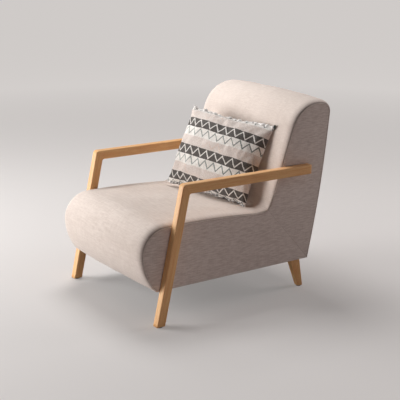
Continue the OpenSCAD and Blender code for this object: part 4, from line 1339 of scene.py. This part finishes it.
@dataclass
class RearLegs:
    """The two rear legs, tapered towards the foot and raked back."""

    material: Material
    middle_s: float
    top_s: float = 0.717
    top_d: float = 0.046
    top_w: float = 0.032
    foot_s: float = 0.773
    foot_d: float = 0.024
    foot_w: float = 0.025
    foot_inset: float = 0.017
    edge_r: float = 0.0035
    tuck_in: tuple[float, float] = (0.0015, 0.0004)
    tuck_down: tuple[float, float] = (0.0003, 0.0012)
    grain_shift: float = 0.21
    rings: int = 24
    half_arc: int = 3
    flat: int = 4

    def section(self, width: Array, depth: Array) -> Array:
        """A rounded rectangle for each ring, about its middle: arcs of a quarter turn, and lines.

        Args:
            width: Width of each ring.
            depth: Depth of each ring.

        Returns:
            Places across and along the depth, a row of points for each ring.
        """
        half = np.stack([width, depth], -1)[:, None] / 2 - self.edge_r
        signs = np.array([[1, 1], [-1, 1], [-1, -1], [1, -1]])
        eighth = np.linspace(0.0, math.pi / 4, self.half_arc + 1)
        t = np.linspace(0.0, 1.0, self.flat + 1)[None, :, None]
        sides = []
        for quarter in range(4):
            turn = (quarter + 0.5) * RIGHT_ANGLE + eighth
            out = half * signs[quarter] + self.edge_r * ray(turn)
            into = half * signs[(quarter + 1) % 4] + self.edge_r * ray(turn + math.pi / 4)
            level = out[:, -1:] + t * (into[:, :1] - out[:, -1:])
            sides.append(np.concatenate([out[:, :-1], level[:, :-1], into[:, :-1]], 1))
        return np.concatenate(sides, 1)

    def build(self) -> None:
        """Builds both legs: rings that change evenly from top to foot, the ends drawn in a little."""
        t = np.concatenate([[0.0, 0.0], np.linspace(0.0, 1.0, self.rings), [1.0, 1.0]])
        tuck = np.zeros(len(t))
        tuck[[0, 1]] = tuck[[-1, -2]] = self.tuck_in
        width = self.top_w + (self.foot_w - self.top_w) * t
        depth = self.top_d + (self.foot_d - self.top_d) * t
        steps = 2 * self.half_arc + self.flat
        for side in Side:
            node = "rear_leg_" + side.label
            low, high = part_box(node)
            z = high.z + (low.z - high.z) * t
            z[[1, 2]] -= self.tuck_down
            z[[-2, -3]] += self.tuck_down
            x = max(abs(low.x), abs(high.x)) - self.foot_inset * t - width / 2
            y = self.top_s + (self.foot_s - self.top_s) * t + depth / 2 - self.middle_s
            flat = np.stack([x, y], -1)[:, None] + self.section(width - 2 * tuck, depth - 2 * tuck)
            points, quads, _ = capped(in_space(flat, z=z[:, None]), steps, steps)
            grain = points[:, [2, 0, 1]] + [0.0, side.value * self.grain_shift, 0.0]
            make_piece(node + "_oak", points * [side.value, 1, 1], quads, self.material, "oak",
                       (node,), grain=grain)


# The cushion


@dataclass(frozen=True)
class Tuft:
    """Yarn ends at a corner of the cushion.

    Column and row say which corner of the panel's grid it is. The ends point out along a
    direction in the cushion's own axes, by a share of their length.
    """

    name: str
    column: int
    row: int
    out: Triple
    finish: str = "white_tuft"
    out_by: float = 0.30
    longer: float = 1.0


@dataclass(frozen=True)
class Selvedge:
    """A rolled selvedge along a row of the panel's grid: a tube with lumps, a little off the seam."""

    name: str
    row: int
    radius: float
    lump: float
    shift: float
    seed: int
    lump_length: float = 0.026
    sway: float = 0.0010
    sway_length: float = 0.022
    taper: float = 0.02
    steps: int = 220


@dataclass
class ScatterCushion:
    """The loose cushion: two woven panels sewn round their edge, over a soft filling."""

    finishes: dict[str, Material]
    width: float = 0.448
    height: float = 0.336
    cut_width: float = 0.470
    cut_height: float = 0.355
    front_swell: float = 0.060
    back_swell: float = 0.040
    draw_in: float = 0.055
    power: float = 0.42
    turn: float = math.radians(14.5)
    lean: float = math.radians(26.5)
    tip: float = math.radians(4.5)
    columns: int = 64
    rows: int = 48
    frames: int = 40
    volume: float = 0.0075
    cut_lens: float = 0.010
    crumple: float = 0.0003
    crumple_seed: int = 4
    softness: float = 0.4
    tuft_length: float = 0.013
    tuft_slimness: float = 0.12
    tuft_ends: int = 9
    tuft_spread: float = 0.30
    tuft_scatter: float = 0.0012
    tuft_seed: int = 21
    tufts: tuple[Tuft, ...] = (
        Tuft("right_top", 0, -1, (-0.62, 0.0, 0.78)),
        Tuft("left_top", -1, -1, (0.15, -0.25, 0.95), "dark_tuft", 0.55, 1.4),
        Tuft("right_bottom", 0, 0, (-0.62, 0.0, -0.78)),
        Tuft("left_bottom", -1, 0, (0.62, 0.0, -0.78)),
    )
    selvedges: tuple[Selvedge, ...] = (
        Selvedge("upper", -1, 0.0040, 0.0034, 0.0012, 39),
        Selvedge("lower", 0, 0.0038, 0.0020, -0.0012, 40),
    )

    def __post_init__(self) -> None:
        """Takes the cushion's axes, and the middle of its seam in them, from the front's solid."""
        self.axes = np.array(Euler((-self.lean, self.tip, self.turn), "YXZ").to_matrix())
        solid = frame["nodes"]["cushion_front"].data
        points = np.zeros(len(solid.vertices) * 3, np.float32)
        solid.vertices.foreach_get("co", points)
        local = points.reshape(-1, 3) @ self.axes
        low, high = local.min(0), local.max(0)
        self.centre = np.array([(low[0] + high[0]) / 2, high[1], (low[2] + high[2]) / 2])

    def placed(self, points: Array) -> Array:
        """Points in the cushion's own directions, in the chair's frame."""
        return (points + self.centre) @ self.axes.T

    def drawn(self, t: Array) -> Array:
        """Share of its full size that the cushion keeps along a side, least at its middle."""
        return 1.0 - self.draw_in * (1.0 - t * t)

    def evened(self, half: float, steps: int) -> Array:
        """Places that lie evenly along the swollen front panel's middle line.

        Args:
            half: Half the panel's size along the line.
            steps: Steps of the line.

        Returns:
            The places, from -1 to 1.
        """
        t = np.sin(np.linspace(-RIGHT_ANGLE, RIGHT_ANGLE, 801))
        rise = self.front_swell * np.maximum(1.0 - t * t, 0.0) ** self.power
        run = run_of(np.stack([half * t, rise], -1))
        return np.interp(np.linspace(0.0, run[-1], steps + 1), run, t)

    def swollen(self, points: Array, quads: Array) -> Array:
        """Lets the two sewn panels swell like a filled cushion, by a cloth simulation.

        Args:
            points: Points of the flat panels, in the cushion's own directions.
            quads: Their faces, turned outwards.

        Returns:
            The points after the panels have settled round the filling's volume.
        """
        mesh = bpy.data.meshes.new("panels")
        mesh.from_pydata(points, [], quads)
        panels = bpy.data.objects.new("panels", mesh)
        scene = bpy.context.scene
        scene.collection.objects.link(panels)
        modifier = panels.modifiers.new("Cloth", "CLOTH")
        # A soft cotton that stretches a little under the pressure of its filling.
        cloth = modifier.settings
        cloth.quality, cloth.mass, cloth.air_damping = 5, 0.3, 1.0
        cloth.tension_stiffness = cloth.compression_stiffness = 20.0
        cloth.shear_stiffness, cloth.bending_stiffness = 5.0, 0.1
        cloth.tension_damping = cloth.compression_damping = cloth.shear_damping = 5.0
        cloth.use_pressure = cloth.use_pressure_volume = True
        cloth.target_volume, cloth.pressure_factor = self.volume, 3.0
        cloth.uniform_pressure_force = 0.0
        cloth.effector_weights.gravity = 0.0
        modifier.point_cache.frame_start, modifier.point_cache.frame_end = 1, self.frames
        for number in range(1, self.frames + 1):
            scene.frame_set(number)
        settled = panels.evaluated_get(bpy.context.evaluated_depsgraph_get())
        result = np.zeros(len(points) * 3, np.float32)
        settled.data.vertices.foreach_get("co", result)
        scene.frame_set(1)
        bpy.data.objects.remove(panels)
        bpy.data.meshes.remove(mesh)
        return result.reshape(-1, 3).astype(float)

    def fitted(self, points: Array, ids: Array) -> Array:
        """Fits the settled panels to the cushion's outline and swell.

        The corners go to the full width and height, and what each is off by is shared out
        over the panels. So is the difference of each pair of sides' bow, fitted by a
        polynomial, from the wanted draw-in, so that the folds between stay.

        Args:
            points: The settled points.
            ids: Grid of point numbers of the front panel, with the seam as its rim.

        Returns:
            The fitted points.
        """
        half = {0: self.width / 2, 2: self.height / 2}
        at_corners = ids[[0, -1, 0, -1], [0, 0, -1, -1]]
        wanted = np.array([[x * half[0], 0.0, z * half[2]] for z in (-1, 1) for x in (-1, 1)])
        size = np.abs(points[at_corners]).mean(0) * [2, 0, 2] + [0, 1, 0]
        points = points * (wanted[3] - wanted[0] + [0, 1, 0]) / size
        off = wanted - points[at_corners]
        u, v = (0.5 + points[:, [0, 2]] / [self.width, self.height]).T[:, :, None]
        points = points + (1 - v) * ((1 - u) * off[0] + u * off[1]) + v * ((1 - u) * off[2] + u * off[3])
        grid = points[ids]
        result = points.copy()
        for axis, other, far, near in ((0, 2, grid[-1], grid[0]), (2, 0, grid[:, -1], grid[:, 0])):
            place = (far[:, other] + near[:, other]) / 2 / half[other]
            bow = (far[:, axis] - near[:, axis]) / 2 / half[axis]
            t = np.clip(points[:, other] / half[other], -1.0, 1.0)
            result[:, axis] *= self.drawn(t) / np.polyval(np.polyfit(place**2, bow, 2), t * t)
        y = result[:, 1]
        result[:, 1] *= np.where(y < 0, -self.front_swell / y.min(), self.back_swell / y.max())
        return result

    def build(self) -> None:
        """A panel bulges by the product of two parabolas to a power, at places that lie evenly
        over the bulge. The simulated panels are mixed in for the folds that they have.
        """
        u, v = np.meshgrid(np.linspace(-1.0, 1.0, self.columns + 1),
                           np.linspace(-1.0, 1.0, self.rows + 1), indexing="ij")
        ids = np.arange(u.size).reshape(u.shape)
        back_ids = ids.copy()
        inner = ids[1:-1, 1:-1]
        back_ids[1:-1, 1:-1] = u.size + np.arange(inner.size).reshape(inner.shape)
        quads = np.concatenate([quads_of(ids), quads_of(back_ids)[:, ::-1]])

        def sewn(x: Array, y_front: Array, y_back: Array, z: Array) -> Array:
            """Points of both panels, with the seam's points once."""
            front, back = (np.stack([x, y, z], -1) for y in (-y_front, y_back))
            return np.concatenate([front.reshape(-1, 3), back[1:-1, 1:-1].reshape(-1, 3)])

        even_u = self.evened(self.width / 2, self.columns)[:, None] + 0 * v
        even_v = self.evened(self.height / 2, self.rows)[None] + 0 * u
        shape = np.maximum((1 - even_u**2) * (1 - even_v**2), 0.0) ** self.power
        points = sewn(self.width / 2 * even_u * self.drawn(even_v), self.front_swell * shape,
                      self.back_swell * shape, self.height / 2 * even_v * self.drawn(even_u))
        lens = self.cut_lens * np.sqrt(np.maximum((1 - u * u) * (1 - v * v), 0.0))
        flat = sewn(self.cut_width / 2 * u, lens, lens, self.cut_height / 2 * v)
        flat += np.random.default_rng(self.crumple_seed).normal(0.0, self.crumple, flat.shape)
        settled = self.fitted(self.swollen(flat, outwards(flat, quads)), ids)
        points += self.softness * (settled - points)
        panel = sewn((u + 1) / 2, 0 * u, 0 * u, (v + 1) / 2)[:, [0, 2, 1]]
        cloth = panel * [self.width, self.height, 1.0]
        cloth[u.size :, 2] = 0.5
        piece = make_piece("scatter_cushion", self.placed(points), quads, self.finishes["cushion_cloth"],
                           "cushion_cloth", ("cushion_front", "cushion_back", "cushion_filling"),
                           Body.CUSHION, panel=panel, cloth=cloth)
        rounder = piece.modifiers.new("Smooth", "SUBSURF")
        rounder.levels = rounder.render_levels = 1
        self.add_tufts(points[ids], piece)
        self.add_selvedges(points[ids], piece)

    def add_tufts(self, seam: Array, cushion: Object) -> None:
        """Short yarn ends at the corners, scattered about each one's direction.

        Args:
            seam: Grid of the front panel's points, with the seam as its rim.
            cushion: The cushion that they go with.
        """
        draw = np.random.default_rng(self.tuft_seed)
        size = (self.tuft_ends, 3)
        for tuft in self.tufts:
            ahead = unit(np.array(tuft.out) + draw.normal(0.0, self.tuft_spread, size))
            middle = seam[tuft.column, tuft.row] + ahead * self.tuft_length * tuft.out_by
            middle = middle + draw.normal(0.0, self.tuft_scatter, size)
            length = self.tuft_length * tuft.longer
            rods = capsules(self.placed(middle), ahead @ self.axes.T, length, length * self.tuft_slimness)
            make_piece("cushion_tuft_" + tuft.name, *rods, self.finishes[tuft.finish],
                       "cushion_cloth", body=Body.CUSHION, parent=cushion)

    def add_selvedges(self, seam: Array, cushion: Object) -> None:
        """The rolled selvedges along the seam: tubes of uneven radius about a swaying line.

        Args:
            seam: Grid of the front panel's points, with the seam as its rim.
            cushion: The cushion that they go with.
        """
        turn = np.linspace(0.0, 2 * math.pi, 9)[:-1]
        ring = np.stack([0 * turn, np.cos(turn), np.sin(turn)], -1)
        for roll in self.selvedges:
            line = resampled(seam[:, roll.row], roll.steps)
            t = np.linspace(0.0, 1.0, len(line))
            lumps = np.abs(ripple(t * self.width, 0 * t, roll.seed, roll.lump_length))
            ends = np.sqrt(np.clip(np.minimum(t, 1 - t) / roll.taper, roll.taper, 1.0))
            size = (roll.radius + roll.lump * lumps) * ends
            sway = ripple(t * self.width, 0 * t + 1.0, roll.seed + 4, roll.sway_length)
            line[:, 2] += roll.shift + roll.sway * sway
            rings = self.placed(line[:, None] + size[:, None, None] * ring)
            points, quads, _ = capped(rings, 2, 2)
            make_piece("cushion_selvedge_" + roll.name, points, quads, self.finishes[roll.name],
                       "cushion_cloth", body=Body.CUSHION, parent=cushion)


# Light and camera


@dataclass(frozen=True)
class Lamp:
    """A round soft lamp that looks at the chair and doesn't show itself.

    Its turn is how far it stands round from the chair's front towards the sitter's right, and
    its lift is its angle above the level, both in degrees.
    """

    name: str
    power: float
    size: float
    distance: float
    turn: float
    lift: float
    colour: Triple = (1.0, 1.0, 1.0)

    def build(self, aim: Triple) -> None:
        """Puts the lamp into the scene.

        Args:
            aim: The point of the chair that it looks at.
        """
        light = bpy.data.lights.new(self.name, "AREA")
        light.energy, light.shape, light.size = self.power, "DISK", self.size
        light.color = self.colour
        lamp = bpy.data.objects.new(self.name, light)
        turn, lift = math.radians(self.turn), math.radians(self.lift)
        level = self.distance * math.cos(lift)
        away = [-level * math.sin(turn), -level * math.cos(turn), self.distance * math.sin(lift)]
        lamp.location = np.add(aim, away)
        lamp.rotation_euler = (RIGHT_ANGLE - lift, 0.0, -turn)
        lamp.visible_camera = False
        bpy.context.scene.collection.objects.link(lamp)


@dataclass
class Studio:
    """Floor, light and camera."""

    place: Triple = (3.6230, -2.4330, 1.5932)
    azimuth: float = 0.97453
    pitch: float = 0.27467
    lens: float = 98.016
    sensor: float = 36.0
    aim: Triple = (0.0, -0.05, 0.45)
    lamps: tuple[Lamp, ...] = (
        Lamp("window", 133.0, 2.4, 3.2, 40.0, 7.5),
        Lamp("ceiling", 46.0, 1.4, 2.4, 110.0, 64.0),
        Lamp("fill", 15.0, 1.5, 3.4, -76.0, -3.0, (1.0, 0.88, 0.91)),
        Lamp("rear", 18.0, 1.2, 3.0, 200.0, 20.0, (1.0, 0.94, 0.94)),
    )
    world: str = "F6E8E8"
    world_strength: float = 0.02
    backdrop: str = "E6E3E1"
    floor_half: float = 30.0

    def build(self) -> None:
        """Sets the stage: floor, lamps, a dim world that shows pale, and the camera."""
        scene = bpy.context.scene
        scene.view_settings.view_transform = "Standard"
        half = self.floor_half
        corners = [(-half, -half, 0), (half, -half, 0), (half, half, 0), (-half, half, 0)]
        mesh = bpy.data.meshes.new("floor")
        mesh.from_pydata(corners, [], [(0, 1, 2, 3)])
        mesh.materials.append(Floor().build())
        floor = bpy.data.objects.new("floor", mesh)
        scene.collection.objects.link(floor)
        for lamp in self.lamps:
            lamp.build(self.aim)
        scene.world = bpy.data.worlds.new("studio")
        scene.world.use_nodes = True
        p = Painter(scene.world.node_tree)
        dim = p.add("background", self.world, self.world_strength)
        pale = p.add("background", self.backdrop, 1.0)
        p.add("world", p.add("either", p.add("seen"), dim, pale))
        data = bpy.data.cameras.new("camera")
        data.lens, data.sensor_width = self.lens, self.sensor
        scene.camera = bpy.data.objects.new("camera", data)
        scene.camera.location = self.place
        scene.camera.rotation_euler = (RIGHT_ANGLE - self.pitch, 0.0, self.azimuth)
        scene.collection.objects.link(scene.camera)


def main() -> None:
    """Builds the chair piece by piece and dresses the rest."""
    logging.basicConfig(level=logging.INFO, format="%(message)s")
    finishes = {name: finish.build() for name, finish in FINISHES.items()}
    Studio().build()
    upholstery = Upholstery(SideOutline(), finishes["upholstery"], finishes["thread"])
    upholstery.build()
    DustCover(finishes["dark_cloth"], finishes["steel"]).build()
    ArmFrame(finishes["oak"], upholstery.middle_s).build()
    RearLegs(finishes["oak"], upholstery.middle_s).build()
    ScatterCushion(finishes).build()
    dress_nodes(finishes)
    bpy.context.view_layer.update()


if __name__ == "__main__":
    main()
